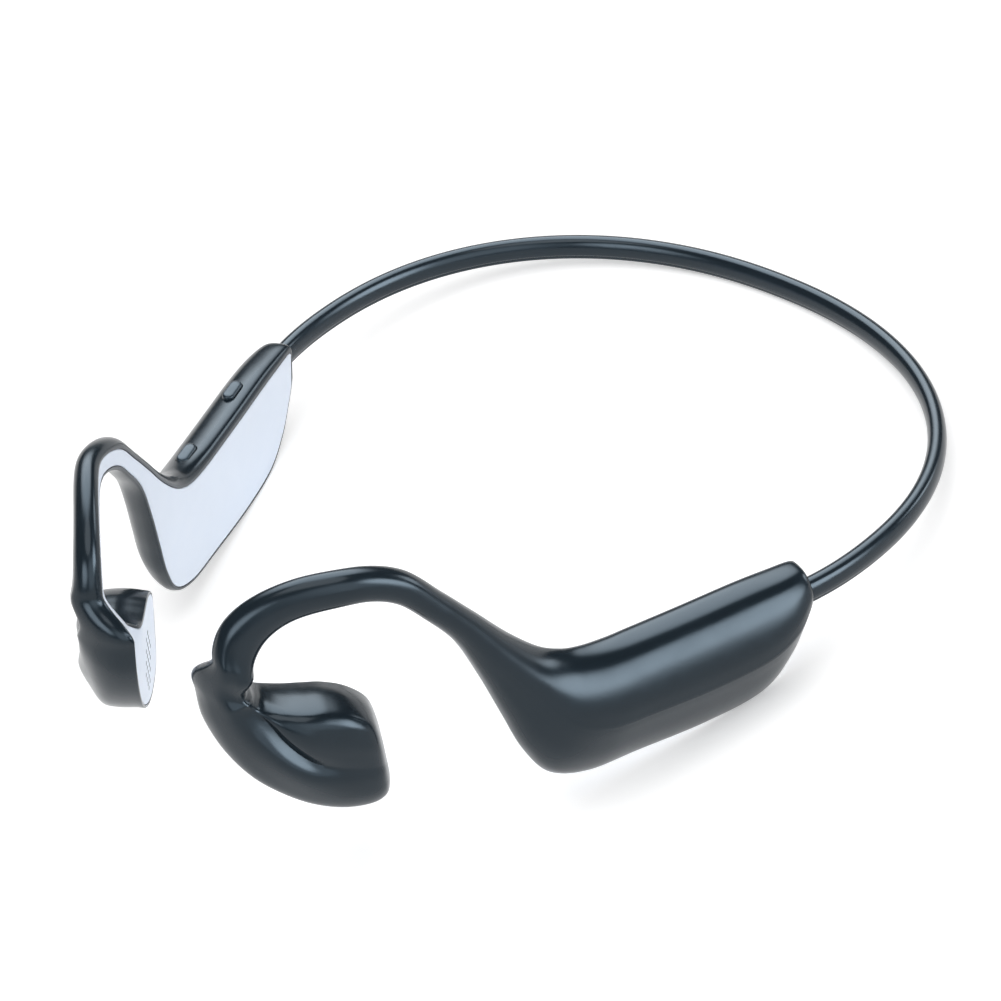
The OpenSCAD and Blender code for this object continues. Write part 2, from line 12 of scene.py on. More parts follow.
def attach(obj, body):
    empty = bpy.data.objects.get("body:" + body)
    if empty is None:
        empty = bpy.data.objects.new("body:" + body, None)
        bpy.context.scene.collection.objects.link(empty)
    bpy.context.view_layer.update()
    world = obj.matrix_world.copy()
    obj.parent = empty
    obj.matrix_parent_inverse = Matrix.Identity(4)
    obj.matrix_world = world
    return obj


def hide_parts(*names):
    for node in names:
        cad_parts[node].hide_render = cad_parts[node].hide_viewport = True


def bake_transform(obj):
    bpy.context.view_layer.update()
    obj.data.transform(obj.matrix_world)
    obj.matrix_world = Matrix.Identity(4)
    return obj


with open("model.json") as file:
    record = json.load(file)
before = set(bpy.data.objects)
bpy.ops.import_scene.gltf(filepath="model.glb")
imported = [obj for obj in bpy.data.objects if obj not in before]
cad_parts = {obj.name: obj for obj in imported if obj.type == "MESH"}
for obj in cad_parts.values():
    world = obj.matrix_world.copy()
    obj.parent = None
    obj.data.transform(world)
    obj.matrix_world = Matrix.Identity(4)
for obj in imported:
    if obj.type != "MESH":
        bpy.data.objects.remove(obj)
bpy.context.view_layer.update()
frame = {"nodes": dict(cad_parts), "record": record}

bl_info = {
    "name": "Bone Conduction Headphones",
    "version": (1, 0, 0),
    "blender": (4, 5, 0),
    "location": "View3D > Sidebar > Headphones",
    "description": "Builds a pair of bone conduction headphones and its studio stage",
    "category": "Object",
}

MM = 0.001

# How the headphones lie on the table: the level band is tipped back a little.
REST_TILT = math.radians(10.68)
REST_SHIFT = (0.0, 11.84, 11.631)

# Rows along each module, from the rear of the box over the ear to the rear of the pod:
# outer edge u and z, inner edge u and z, part of the depth, weights box, leg, tube, neck, pod.
ROWS = [
    (2.8, 4.9, 2.9, -2.2, 0.59, 1, 0, 0, 0, 0),
    (4, 5.4, 4.4, -5.4, 0.74, 1, 0, 0, 0, 0),
    (7.5, 5.5, 7.2, -10.4, 0.9, 1, 0, 0, 0, 0),
    (13, 5.6, 12, -14.1, 0.98, 1, 0, 0, 0, 0),
    (22, 5.5, 21, -15.1, 1, 1, 0, 0, 0, 0),
    (30, 5.5, 33, -14.6, 1, 0.9, 0.1, 0, 0, 0),
    (34.5, 5.5, 40.8, -13.9, 1, 0.7, 0.3, 0, 0, 0),
    (38.5, 5.9, 46.4, -11, 0.96, 0.4, 0.6, 0, 0, 0),
    (41.5, 6.9, 49.4, -5.4, 0.88, 0.1, 0.9, 0, 0, 0),
    (44.8, 9.3, 51.3, 1.5, 0.8, 0, 1, 0, 0, 0),
    (48.8, 13.8, 53.3, 9.1, 0.71, 0, 0.75, 0.25, 0, 0),
    (52.8, 19.3, 55.8, 16.6, 0.62, 0, 0.35, 0.65, 0, 0),
    (56.6, 24.3, 59.4, 22.3, 0.57, 0, 0.1, 0.9, 0, 0),
    (61, 29.7, 62.8, 26.5, 0.52, 0, 0, 1, 0, 0),
    (66.4, 32.6, 66.8, 28.7, 0.48, 0, 0, 1, 0, 0),
    (71.7, 32.9, 70.8, 28.8, 0.46, 0, 0, 1, 0, 0),
    (76.6, 31.1, 74.5, 27.7, 0.46, 0, 0, 1, 0, 0),
    (80.3, 27.8, 77.4, 25.3, 0.49, 0, 0, 1, 0, 0),
    (82.3, 23.6, 79.2, 22, 0.54, 0, 0, 0.85, 0.15, 0),
    (82.8, 19.4, 79.8, 18.7, 0.68, 0, 0, 0.45, 0.55, 0),
    (82.8, 15.4, 79.3, 15.6, 0.85, 0, 0, 0.1, 0.9, 0),
    (82.8, 10.4, 77.2, 13.4, 0.97, 0, 0, 0, 1, 0),
    (81.5, 4.6, 75.6, 12.5, 1.03, 0, 0, 0, 0.6, 0.4),
    (79, -0.6, 73.7, 11.9, 1.1, 0, 0, 0, 0.15, 0.85),
    (75, -4.9, 71.6, 11.5, 1.16, 0, 0, 0, 0, 1),
    (71, -7.3, 69.4, 11, 1.14, 0, 0, 0, 0, 1),
    (67.4, -7.9, 66.9, 9.6, 1.07, 0, 0, 0, 0, 1),
    (65.3, -7.2, 64.9, 7, 0.92, 0, 0, 0, 0, 1),
    (64.4, -5.5, 64.3, 3.2, 0.6, 0, 0, 0, 0, 1),
]

# Cross sections, in the order of the weights. First the knot that has the crease and how sharp it is, then
# every knot: its place across, from the outer to the inner edge, and its part of the depth.
SECTIONS = {
    "box": (8, 1, [
        (0, 0), (-0.036, 0.08), (-0.045, 0.25), (-0.02, 0.5), (0.02, 0.67), (0.09, 0.8), (0.2, 0.92),
        (0.36, 1), (0.51, 0.95), (0.6, 0.83), (0.77, 0.58), (0.91, 0.31), (0.987, 0.09), (1, 0)]),
    "leg": (8, 1, [
        (0, 0), (-0.06, 0.1), (-0.09, 0.25), (-0.07, 0.45), (0, 0.66), (0.1, 0.83), (0.22, 0.95),
        (0.34, 1), (0.47, 0.99), (0.6, 0.93), (0.82, 0.79), (0.97, 0.56), (1.03, 0.25), (1, 0)]),
    "tube": (7, 0, [
        (0, 0), (-0.15, 0.14), (-0.22, 0.3), (-0.22, 0.5), (-0.14, 0.72), (0.04, 0.9), (0.26, 0.98),
        (0.5, 1), (0.74, 0.95), (0.95, 0.83), (1.08, 0.64), (1.12, 0.42), (1.08, 0.18), (1, 0)]),
    "neck": (6, 0.6, [
        (0, 0), (-0.04, 0.13), (-0.05, 0.33), (0.03, 0.55), (0.22, 0.78), (0.56, 0.98), (0.88, 0.88),
        (0.93, 0.86), (0.96, 0.83), (0.99, 0.77), (1.02, 0.66), (1.04, 0.5), (1.03, 0.24), (1, 0)]),
    "pod": (6, 1, [
        (0, 0), (0.01, 0.12), (0.01, 0.38), (0.03, 0.63), (0.14, 0.81), (0.3, 0.9), (0.41, 0.91),
        (0.54, 0.955), (0.69, 1), (0.82, 0.99), (0.93, 0.94), (1, 0.79), (1.03, 0.4), (1, 0)]),
}

# The neckband's section: outward and up, as parts of its half width and half height. The step in each
# side sets off the bead on top.
BAND_SIDE = [
    (0.2, -1), (0.62, -0.85), (0.9, -0.5), (1, -0.1), (0.98, 0.2), (0.9, 0.42), (0.78, 0.52), (0.68, 0.56),
    (0.66, 0.66), (0.6, 0.82), (0.4, 0.95),
]
BAND_SECTION = [*BAND_SIDE, (0, 1), *((-x, y) for x, y in reversed(BAND_SIDE))]

# The two halves of the neckband: which way each lies, and the body at its end.
SIDES = ((1, "left_module"), (-1, "right_module"))

# The inner face has the box's plane, the hook's and the pod's. The hook begins at HOOK_FROM and turns over
# HOOK_OVER. At u 0 its plane and the pod's would lie this much further out than the box's.
HOOK_YAW, POD_YAW = math.radians(45.85), math.radians(39.35)
HOOK_FROM, HOOK_OVER = 61, 16
HOOK_OUT, POD_OUT = 46.5, 22.9
# How softly the box's plane turns into the hook's.
FACE_BLEND = 0.8
# The pod steps in below a height that rises towards the front.
STEP_TOP, STEP_HEIGHT = 18.5, 6.4
STEP_FRONT, STEP_RISE = 78.6, 0.95
# The place along the level frame's y where u is 0.
MODULE_Y = -0.004
# The part of the depth, in the rows, at which the tube is as deep as its own size says.
TUBE_PART = 0.5
# The pod's ridge and valley begin at RIDGE_FROM, near its rear, and are full RIDGE_OVER further forward.
RIDGE_FROM, RIDGE_OVER = 66, 14
RIDGE_LIFT, VALLEY_SINK = 0.09, 0.06
# The valley's shift away from the outer edge, and how much that grows from the pod's rear to the hook.
VALLEY_SHIFT, VALLEY_SWING = 0.07, 0.33
POD_REAR, POD_LENGTH = 64, 18

# Where the cover's seat, the cavity and the cover start and stop, counted in rows.
SEAT_SPAN = (0.3, 27.7)
CAVITY_SPAN = (1.6, 26.6)
COVER_SPAN = (0.36, 27.64)
# How far the ledges under the cover reach in, along the top and elsewhere, as parts of the wall.
TOP_LEDGE, LEDGE = 0.48, 0.8
# How long a row is taken to be at the cover's ends, in mm, where its edge is eased.
ROW_LENGTH = 1.2

# Where things lie on the inner face, as u and z, and how far outward.
POD_MIDDLE = (72.2, 1.4)
BUTTONS = {"volume_up": (18, 5.2), "volume_down": (34.6, 5.2)}
BUTTON_OUT = 3.3
PORT, FLAP, BOARD = (26, -7.2), (26, -10.8), (26, -2.6)
PORT_OUT = 3.9
FLANK_TILT = math.radians(39)
PORT_MOUTH = (9.4, 3.4)
FLAP_DEPTH, FLAP_CORNER, RECESS_CORNER = 0.9, 0.9, 1.0
# The microphone's hole and the light pipe's: how far behind BOARD and above it, and the diameter.
SMALL_HOLES = ((6.1, -2.4, 0.9), (8, -4, 1.3))

# Points nearer than this are one point, in metres.
MERGE = 1e-6


def to_linear(code):
    """Turns an sRGB hex colour into the linear colour that shaders take."""
    parts = [int(code[i:i + 2], 16) / 255 for i in (0, 2, 4)]
    return [c / 12.92 if c <= 0.04045 else ((c + 0.055) / 1.055) ** 2.4 for c in parts]


# ---- settings ----

def setting(name, text, value, **kind):
    """A setting that holds a number."""
    return bpy.props.FloatProperty(name=name, description=text, default=value, **kind)


def length(name, text, size_mm):
    """A length setting, given in millimetres and kept in metres."""
    return setting(name, text, size_mm * MM, unit="LENGTH", precision=5)


def angle(name, text, degrees):
    """An angle setting, given in degrees and kept in radians."""
    return setting(name, text, math.radians(degrees), subtype="ANGLE")


def colour(name, text, code):
    """A colour setting from an sRGB hex value."""
    return bpy.props.FloatVectorProperty(name=name, description=text, default=to_linear(code),
                                         subtype="COLOR", size=3, min=0, max=1)


class ModuleSizes(bpy.types.PropertyGroup):
    """Sizes of the two moulded modules."""
    face_half: length("Half spacing", "Half the distance between the inner faces at the band ends", 52.998)
    box_yaw: angle("Box angle", "Angle by which each box closes in", 19.5)
    lean: setting("Lean", "Sideways lean for each unit of height", 0.125)
    box_depth: length("Box depth", "Depth of the box at its middle", 8.2)
    tube_depth: length("Tube depth", "Depth of the ear hook tube", 4.1)
    pod_depth: length("Pod depth", "Depth of the pod at its middle", 8.9)
    wall: length("Wall", "Shell wall", 1.1)
    rim: length("Rim", "Dark rim left round the cover plate", 0.5)
    rim_top: length("Top rim", "How much wider the rim is along the top of the box", 0.45)
    cover: length("Cover thickness", "Thickness of the cover plate", 0.9)
    edge: length("Edge radius", "Radius of the moulded rim edge", 0.22)
    end_round: length("End radius", "Rounding of the module ends", 0.9)


class BandSizes(bpy.types.PropertyGroup):
    """Sizes of the neckband."""
    half: length("Half width", "Half width of the band's centre line", 56.1)
    reach: length("Reach", "Reach of the band behind its widest place", 48.5)
    height: length("Height", "Height of the band sleeve", 4.1)
    width: length("Thickness", "Thickness of the band sleeve", 3.0)
    power: setting("Squareness", "Exponent of the band's outline", 2.15)
    widest: length("Widest place", "Distance of the band's widest place behind the module ends", 10.1)
    level: length("Level", "Height of the middle of the band", 1.35)
    start: angle("Start angle", "Angle at which the band enters a module", -16.2)


class DetailSizes(bpy.types.PropertyGroup):
    """Sizes of the buttons, the charge port flap and the grille."""
    button_l: length("Button length", "Length of a volume button", 4.8)
    button_w: length("Button width", "Width of a volume button", 2.1)
    button_up: length("Button height", "Height of a button above the shell", 0.9)
    gap: length("Gap", "Gap round each button and the flap", 0.12)
    flap_l: length("Flap length", "Length of the charge port flap", 11.4)
    flap_w: length("Flap width", "Width of the charge port flap", 6.2)
    hole: length("Hole diameter", "Diameter of one grille hole", 0.8)
    pitch: length("Hole pitch", "Distance between neighbouring grille holes", 1.75)
    grille_w: length("Grille width", "Width of the field of holes", 7.4)
    grille_h: length("Grille height", "Height of the field of holes", 11.2)


class FinishColours(bpy.types.PropertyGroup):
    """Colours of the visible finishes."""
    shell: colour("Shell", "Dark blue grey of the moulded shells", "1B242B")
    plate: colour("Cover plate", "Pale blue white of the cover plates", "DCE5F2")
    band: colour("Neckband", "Dark blue grey of the silicone", "1C252C")
    button: colour("Buttons", "Dark blue grey of the soft buttons", "202A32")
    backdrop: colour("Backdrop", "Colour of the floor and the background", "FFFFFF")


# ---- form of the modules, in millimetres, in the level frame of the band ----

def ramp(q):
    """Rises smoothly from 0 to 1 while q does."""
    c = np.clip(q, 0, 1)
    return c * c * (3 - 2 * c)


def between(a, b, c, d, q):
    """A place from b (q = 0) to c (q = 1) on a smooth curve through all four."""
    return b + q * ((c - a) / 2 + q * ((a - 2.5 * b + 2 * c - d / 2) + q * ((3 * (b - c) + d - a) / 2)))


def quarter(radius, distance):
    """How far a rounded edge of this radius has drawn in at a distance from its end."""
    if distance >= radius:
        return 0.0
    return radius - math.sqrt(max(0.0, radius ** 2 - (radius - distance) ** 2))


class ModuleForm:
    """The left module's surfaces as functions of a place along it, across it and outward."""

    def __init__(self, sizes):
        self.box_yaw = sizes.box_yaw
        self.lean = sizes.lean
        for name in ("face_half", "box_depth", "tube_depth", "pod_depth", "wall", "rim", "rim_top", "cover",
                     "edge", "end_round"):
            setattr(self, name, getattr(sizes, name) / MM)
        self.rows = np.array(ROWS, float)
        self.last = len(ROWS) - 1
        # Each knot also says how sharp it is, so that a crease fades in and out along the module.
        self.kinds = np.array([[(*knot, 0) for knot in knots] for _, _, knots in SECTIONS.values()])
        for kind, (crease, sharp, _) in zip(self.kinds, SECTIONS.values()):
            kind[crease, 2] = sharp

    def step_in(self, u, z):
        """How far the face has stepped from the upper planes to the pod's plane, from 0 to 1."""
        top = STEP_TOP + STEP_RISE * np.maximum(u - STEP_FRONT, 0)
        return np.where(u < HOOK_FROM, 0, ramp((top - z) / STEP_HEIGHT))

    def face_x(self, u, z):
        """How far out the inner face lies."""
        box = self.face_half - math.tan(self.box_yaw) * u
        hook = self.face_half + HOOK_OUT - math.tan(HOOK_YAW) * u
        upper = (box + hook) / 2 - np.hypot((box - hook) / 2, FACE_BLEND)
        pod = self.face_half + POD_OUT - math.tan(POD_YAW) * u
        return upper + (pod - upper) * self.step_in(u, z) - self.lean * z

    def face_point(self, u, z):
        """A point of the inner face."""
        u, z = np.broadcast_arrays(np.asarray(u, float), np.asarray(z, float))
        return np.stack([self.face_x(u, z), MODULE_Y - u, z], axis=-1)

    def out_dir(self, yaw):
        """The way outward from a plane with this yaw."""
        d = np.array([math.cos(yaw), -math.sin(yaw), self.lean * math.cos(yaw)])
        return d / np.linalg.norm(d)

    def row_yaw(self, u, z):
        """The yaw at a place, which turns from the box's to the hook's and then to the pod's."""
        top = self.box_yaw + (HOOK_YAW - self.box_yaw) * float(ramp((u - HOOK_FROM) / HOOK_OVER))
        return top + (POD_YAW - top) * float(self.step_in(u, z))

    def row_at(self, x):
        """A row at any place along the module, on a smooth curve through the rows."""
        i = int(min(self.last - 1, max(0, math.floor(x))))
        near = (self.rows[min(self.last, max(0, k))] for k in range(i - 1, i + 3))
        return between(*near, x - i)

    def depth_at(self, row):
        """How deep the module is at a row."""
        box, leg, tube, neck, pod = row[5:10]
        return row[4] * ((box + leg) * self.box_depth + tube * self.tube_depth / TUBE_PART
                       + (neck + pod) * self.pod_depth)

    def row_points(self, row, across, out):
        """Points of a row: across 0 at its outer edge and 1 at its inner edge, out in mm."""
        a = self.face_point(row[0], row[1])
        b = self.face_point(row[2], row[3])
        n = self.out_dir(self.row_yaw((row[0] + row[2]) / 2, (row[1] + row[3]) / 2))
        across = np.asarray(across, float)[:, None]
        out = np.asarray(out, float)[:, None]
        return a + across * (b - a) + out * n

    def row_width(self, row):
        """How far a row reaches from its outer to its inner edge."""
        return float(np.linalg.norm(self.face_point(row[0], row[1]) - self.face_point(row[2], row[3])))

    def knots(self, row):
        """The section's knots at a row and how sharp the surface turns at each."""
        u, pod = row[0], row[9]
        mixed = np.tensordot(row[5:10], self.kinds, axes=1)
        # The hook's ridge runs on round the pod, with a valley behind it, and fades towards the pod's end.
        mixed[5:7, 1] += pod * ramp((u - RIDGE_FROM) / RIDGE_OVER) * np.array([RIDGE_LIFT, -VALLEY_SINK])
        # Near the hook the ridge is wider, so the valley lies further from the outer edge.
        valley, inside = mixed[6, 0], np.clip(mixed[:, 0], 0, 1)
        shift = VALLEY_SHIFT + VALLEY_SWING * ((u - POD_REAR) / POD_LENGTH) ** 3
        mixed[:, 0] += np.interp(inside, (0, valley, 1), (0, valley + pod * shift, 1)) - inside
        return mixed[:, :2], mixed[:, 2]

    def section(self, row, steps=6):
        """The outer outline at a row: smooth between its knots, creased at the sharp ones."""
        knots, sharp = self.knots(row)
        last = len(knots) - 2
        points = []
        for k, (a, b) in enumerate(zip(knots, knots[1:])):
            chord = b - a
            smooth_a = (b - knots[k - 1]) / 2 if k > 0 else chord
            smooth_b = (knots[k + 2] - a) / 2 if k < last else chord
            leave = smooth_a + (chord - smooth_a) * sharp[k]
            arrive = smooth_b + (chord - smooth_b) * sharp[k + 1]
            for q in (step / steps for step in range(steps)):
                # The points lie closer together where the outside meets the rim.
                if k == 0:
                    q = q * q
                if k == last:
                    q = 1 - (1 - q) ** 2
                points.append((2 * q ** 3 - 3 * q ** 2 + 1) * a + (q ** 3 - 2 * q ** 2 + q) * leave
                              + (3 * q ** 2 - 2 * q ** 3) * b + (q ** 3 - q ** 2) * arrive)
        return np.array([*points, knots[-1]])

    def cavity(self, row, low):
        """The cavity's outline at a row, from the inner to the outer edge. The tube has a thinner wall."""
        knots, _ = self.knots(row)
        tube, least = row[7], 0.02
        wall = self.wall * (1 - 0.3 * tube)
        grow = max(least, 0.5 - (wall + self.rim) / self.row_width(row))
        depth = self.depth_at(row) - wall
        return [(0.5 + (knots[k, 0] - 0.5) * 2 * grow, max(low + least, knots[k, 1] * depth))
                for k in (11, 10, 8, 6, 5, 3, 2)]

    def plate_corner(self, x):
        """How far the cover's outline is drawn in near its ends, which makes its corners round."""
        radius, end_rim = 1.0, 0.35
        return quarter(radius, max(0.0, self.end_distance(x) - end_rim))

    def end_distance(self, x):
        """Distance along the module to its nearer end, in mm."""
        rows = (self.row_at(at) for at in (x, 0, self.last))
        here, *ends = ((self.face_point(*row[:2]) + self.face_point(*row[2:4])) / 2 for row in rows)
        return min(np.linalg.norm(here - end) for end in ends)


def place(points):
    """Carries points from the level frame, in mm, to the resting object, in metres."""
    p = np.array(points, float)
    c, s = math.cos(REST_TILT), math.sin(REST_TILT)
    x, y, z = p[..., 0], p[..., 1], p[..., 2]
    return (np.stack([x, y * c + z * s, -y * s + z * c], axis=-1) + REST_SHIFT) * MM


def place_matrix():
    """The same move as a matrix, for pieces built in millimetres."""
    rest = Matrix.Translation(Vector(REST_SHIFT) * MM) @ Matrix.Rotation(-REST_TILT, 4, "X")
    return rest @ Matrix.Scale(MM, 4)


def frame_at(form, spot, yaw, out=0):
    """Axes on the inner face, or this far out from it: x towards the rear, y up, z outward."""
    origin = Matrix.Translation(Vector(form.face_point(*spot).tolist()))
    turn = Matrix.Rotation(-yaw, 4, "Z")
    for axis in "ZX":
        turn = turn @ Matrix.Rotation(math.pi / 2, 4, axis)
    lean = Matrix.Rotation(-math.atan(form.lean * math.cos(yaw)), 4, "X")
    return place_matrix() @ (origin @ turn @ lean) @ Matrix.Translation((0, 0, out))


# ---- meshes ----

def add_object(name, data):
    """An object in the scene with this data."""
    obj = bpy.data.objects.new(name, data)
    bpy.context.scene.collection.objects.link(obj)
    return obj


def new_mesh(name, verts, edges=(), faces=()):
    """A mesh from its vertices, edges and faces."""
    mesh = bpy.data.meshes.new(name)
    mesh.from_pydata([tuple(v) for v in verts], edges, faces)
    return mesh


def new_object(name, verts, faces, sharp_angle=38):
    """A mesh object with its doubles merged, its normals outward and its crisp edges kept."""
    obj = add_object(name, new_mesh(name, verts, faces=faces))
    tidy_mesh(obj, sharp_angle)
    return obj


def tidy_mesh(obj, sharp_angle=38):
    """Merges doubles, faces the surface outward, and shades it smooth between crisp edges."""
    mesh = obj.data
    work = bmesh.new()
    work.from_mesh(mesh)
    bmesh.ops.remove_doubles(work, verts=work.verts, dist=MERGE)
    bmesh.ops.dissolve_degenerate(work, dist=MERGE, edges=work.edges)
    bmesh.ops.recalc_face_normals(work, faces=work.faces)
    work.to_mesh(mesh)
    work.free()
    mesh.polygons.foreach_set("use_smooth", [True] * len(mesh.polygons))
    mesh.set_sharp_from_angle(angle=math.radians(sharp_angle))
    mesh.update()


def mirrored(obj):
    """Turns a left piece into the right one."""
    obj.data.transform(Matrix.Diagonal((-1, 1, 1, 1)))
    obj.data.flip_normals()
    return obj


def loft(rings):
    """Vertices and faces through a list of rings that all hold the same number of points."""
    n = len(rings[0])
    faces = []
    for i in range(len(rings) - 1):
        for k in range(n):
            a, b = i * n + k, i * n + (k + 1) % n
            faces.append((a, b, b + n, a + n))
    faces.append(tuple(range(n - 1, -1, -1)))
    faces.append(tuple(range((len(rings) - 1) * n, len(rings) * n)))
    return np.concatenate(rings), faces


def slot_outline(length_mm, width_mm, count=24):
    """Outline of a slot with true round ends, as points along and across it."""
    turn = np.linspace(-math.pi / 2, math.pi / 2, count)
    end = np.stack([np.cos(turn), np.sin(turn)], 1) * width_mm / 2 + [(length_mm - width_mm) / 2, 0]
    return np.concatenate([end, -end])


def plate_outline(length_mm, width_mm, radius, count=8):
    """Outline of a rectangle with round corners, as points along and across it."""
    corner = np.repeat([(1, 1), (-1, 1), (-1, -1), (1, -1)], count, axis=0)
    turn = np.concatenate([np.linspace(0, math.pi / 2, count) + k * math.pi / 2 for k in range(4)])
    middle = corner * [length_mm / 2 - radius, width_mm / 2 - radius]
    return middle + radius * np.stack([np.cos(turn), np.sin(turn)], 1)


def stack(outline, profile, matrix, upright=False):
    """A solid with the same outline at each [inset, height] of its profile, moved by the matrix.
    It rises along z, or along y where upright."""
    rings = []
    half = np.abs(outline).max(0)
    for inset, height in profile:
        ring = outline * (1 - inset / half)
        flat = np.full(len(ring), height)
        parts = [ring[:, 0], flat, ring[:, 1]] if upright else [ring[:, 0], ring[:, 1], flat]
        points = np.stack(parts + [np.ones(len(ring))], axis=1)
        rings.append((points @ np.array(matrix).T)[:, :3])
    return loft(rings)


def straight(outline, low, high, matrix, upright=False):
    """A cutter with the same outline from one height to another."""
    return stack(outline, [(0, low), (0, high)], matrix, upright)


def finished(obj):
    """Keeps what the piece's modifiers make and leaves it a plain mesh."""
    bpy.context.view_layer.update()
    graph = bpy.context.evaluated_depsgraph_get()
    mesh = bpy.data.meshes.new_from_object(obj.evaluated_get(graph))
    obj.modifiers.clear()
    obj.data = mesh
    return obj


def cut(obj, cutters):
    """Takes the cutters, given as vertices and faces, out of the piece."""
    for verts, faces in cutters:
        cutter = new_object("cutter", verts, faces)
        mod = obj.modifiers.new("cut", "BOOLEAN")
        mod.operation = "DIFFERENCE"
        mod.solver = "EXACT"
        mod.object = cutter
        finished(obj)
        bpy.data.objects.remove(cutter)
    tidy_mesh(obj)
    return obj


# ---- node trees ----

def add_node(tree, kind, inputs=None, **settings):
    """Adds a node, sets its properties, and gives each input a value or the output it reads. A node given
    as an input stands for its first output."""
    node = tree.nodes.new(kind)
    for key, value in settings.items():
        setattr(node, key, value)
    for key, source in (inputs or {}).items():
        if isinstance(source, bpy.types.Node):
            source = source.outputs[0]
        if isinstance(source, bpy.types.NodeSocket):
            tree.links.new(source, node.inputs[key])
        else:
            node.inputs[key].default_value = source
    return node


def empty_tree(owner):
    """The node tree of a material or a world, with nothing in it."""
    owner.use_nodes = True
    owner.node_tree.nodes.clear()
    return owner.node_tree


def arrange(tree):
    """Lays the nodes out in columns, each one to the right of what feeds it."""
    column = {node.name: 0 for node in tree.nodes}
    for _ in tree.nodes:
        for link in tree.links:
            after = column[link.from_node.name] + 1
            column[link.to_node.name] = max(column[link.to_node.name], after)
    filled = {}
    for node in tree.nodes:
        c = column[node.name]
        node.location = (c * 220, -filled.get(c, 0) * 240)
        filled[c] = filled.get(c, 0) + 1


def new_tree(name, inputs):
    """A Geometry Nodes tree that takes a geometry and these named inputs, and gives a geometry."""
    kinds = {float: "Float", int: "Int", type(None): "Material"}
    tree = bpy.data.node_groups.new(name, "GeometryNodeTree")
    tree.interface.new_socket("Geometry", in_out="INPUT", socket_type="NodeSocketGeometry")
    for label, value in inputs.items():
        kind = f"NodeSocket{kinds[type(value)]}"
        socket = tree.interface.new_socket(label, in_out="INPUT", socket_type=kind)
        if value is not None:
            socket.default_value = value
    tree.interface.new_socket("Geometry", in_out="OUTPUT", socket_type="NodeSocketGeometry")
    return tree, add_node(tree, "NodeGroupInput").outputs


def end_tree(tree, geometry, material):
    """Realizes what the tree has made, gives it its material and sends it out."""
    whole = add_node(tree, "GeometryNodeRealizeInstances", {"Geometry": geometry})
    dressed = add_node(tree, "GeometryNodeSetMaterial", {"Geometry": whole, "Material": material})
    add_node(tree, "NodeGroupOutput", {"Geometry": dressed})
    arrange(tree)
    return tree


def run_tree(obj, tree, values):
    """Runs a tree on a piece with its inputs set by identifier, and keeps a plain mesh."""
    mod = obj.modifiers.new(tree.name, "NODES")
    mod.node_group = tree
    sockets = {s.name: s.identifier for s in tree.interface.items_tree if s.in_out == "INPUT"}
    for label, value in values.items():
        mod[sockets[label]] = value
    return finished(obj)


def neckband_tree():
    """Sweeps a section, given as a closed outline, along one part of the neckband's rounded arch."""
    tree, given = new_tree("Neckband sweep", {
        "Half width": 0.0561, "Reach": 0.0485, "Squareness": 2.15, "Widest place": 0.0101, "Height": 0.00135,
        "Start angle": 0.0, "End angle": 1.57, "Steps": 96, "Material": None})
    node = partial(add_node, tree)
    line = node("GeometryNodeCurvePrimitiveLine")
    path = node("GeometryNodeResampleCurve", {"Curve": line, "Count": given["Steps"]})
    along = node("GeometryNodeSplineParameter")
    turn = node("ShaderNodeMapRange", {
        "Value": along, "To Min": given["Start angle"], "To Max": given["End angle"]})
    power = node("ShaderNodeMath", {0: 2.0, 1: given["Squareness"]}, operation="DIVIDE")
    reach = []
    for wave, size in (("COSINE", "Half width"), ("SINE", "Reach")):
        part = node("ShaderNodeMath", {0: turn}, operation=wave)
        sign = node("ShaderNodeMath", {0: part}, operation="SIGN")
        for operation, by in (("ABSOLUTE", 0.0), ("POWER", power), ("MULTIPLY", sign),
                              ("MULTIPLY", given[size])):
            part = node("ShaderNodeMath", {0: part, 1: by}, operation=operation)
        reach.append(part)
    back = node("ShaderNodeMath", {0: reach[1], 1: given["Widest place"]}, operation="ADD")
    spot = node("ShaderNodeCombineXYZ", {"X": reach[0], "Y": back, "Z": given["Height"]})
    arch = node("GeometryNodeSetPosition", {"Geometry": path, "Position": spot})
    level = node("GeometryNodeSetCurveNormal", {"Curve": arch}, mode="Z_UP")
    section = node("GeometryNodeMeshToCurve", {"Mesh": given["Geometry"]})
    swept = node("GeometryNodeCurveToMesh", {"Curve": level, "Profile Curve": section, "Fill Caps": True})
    return end_tree(tree, swept, given["Material"])


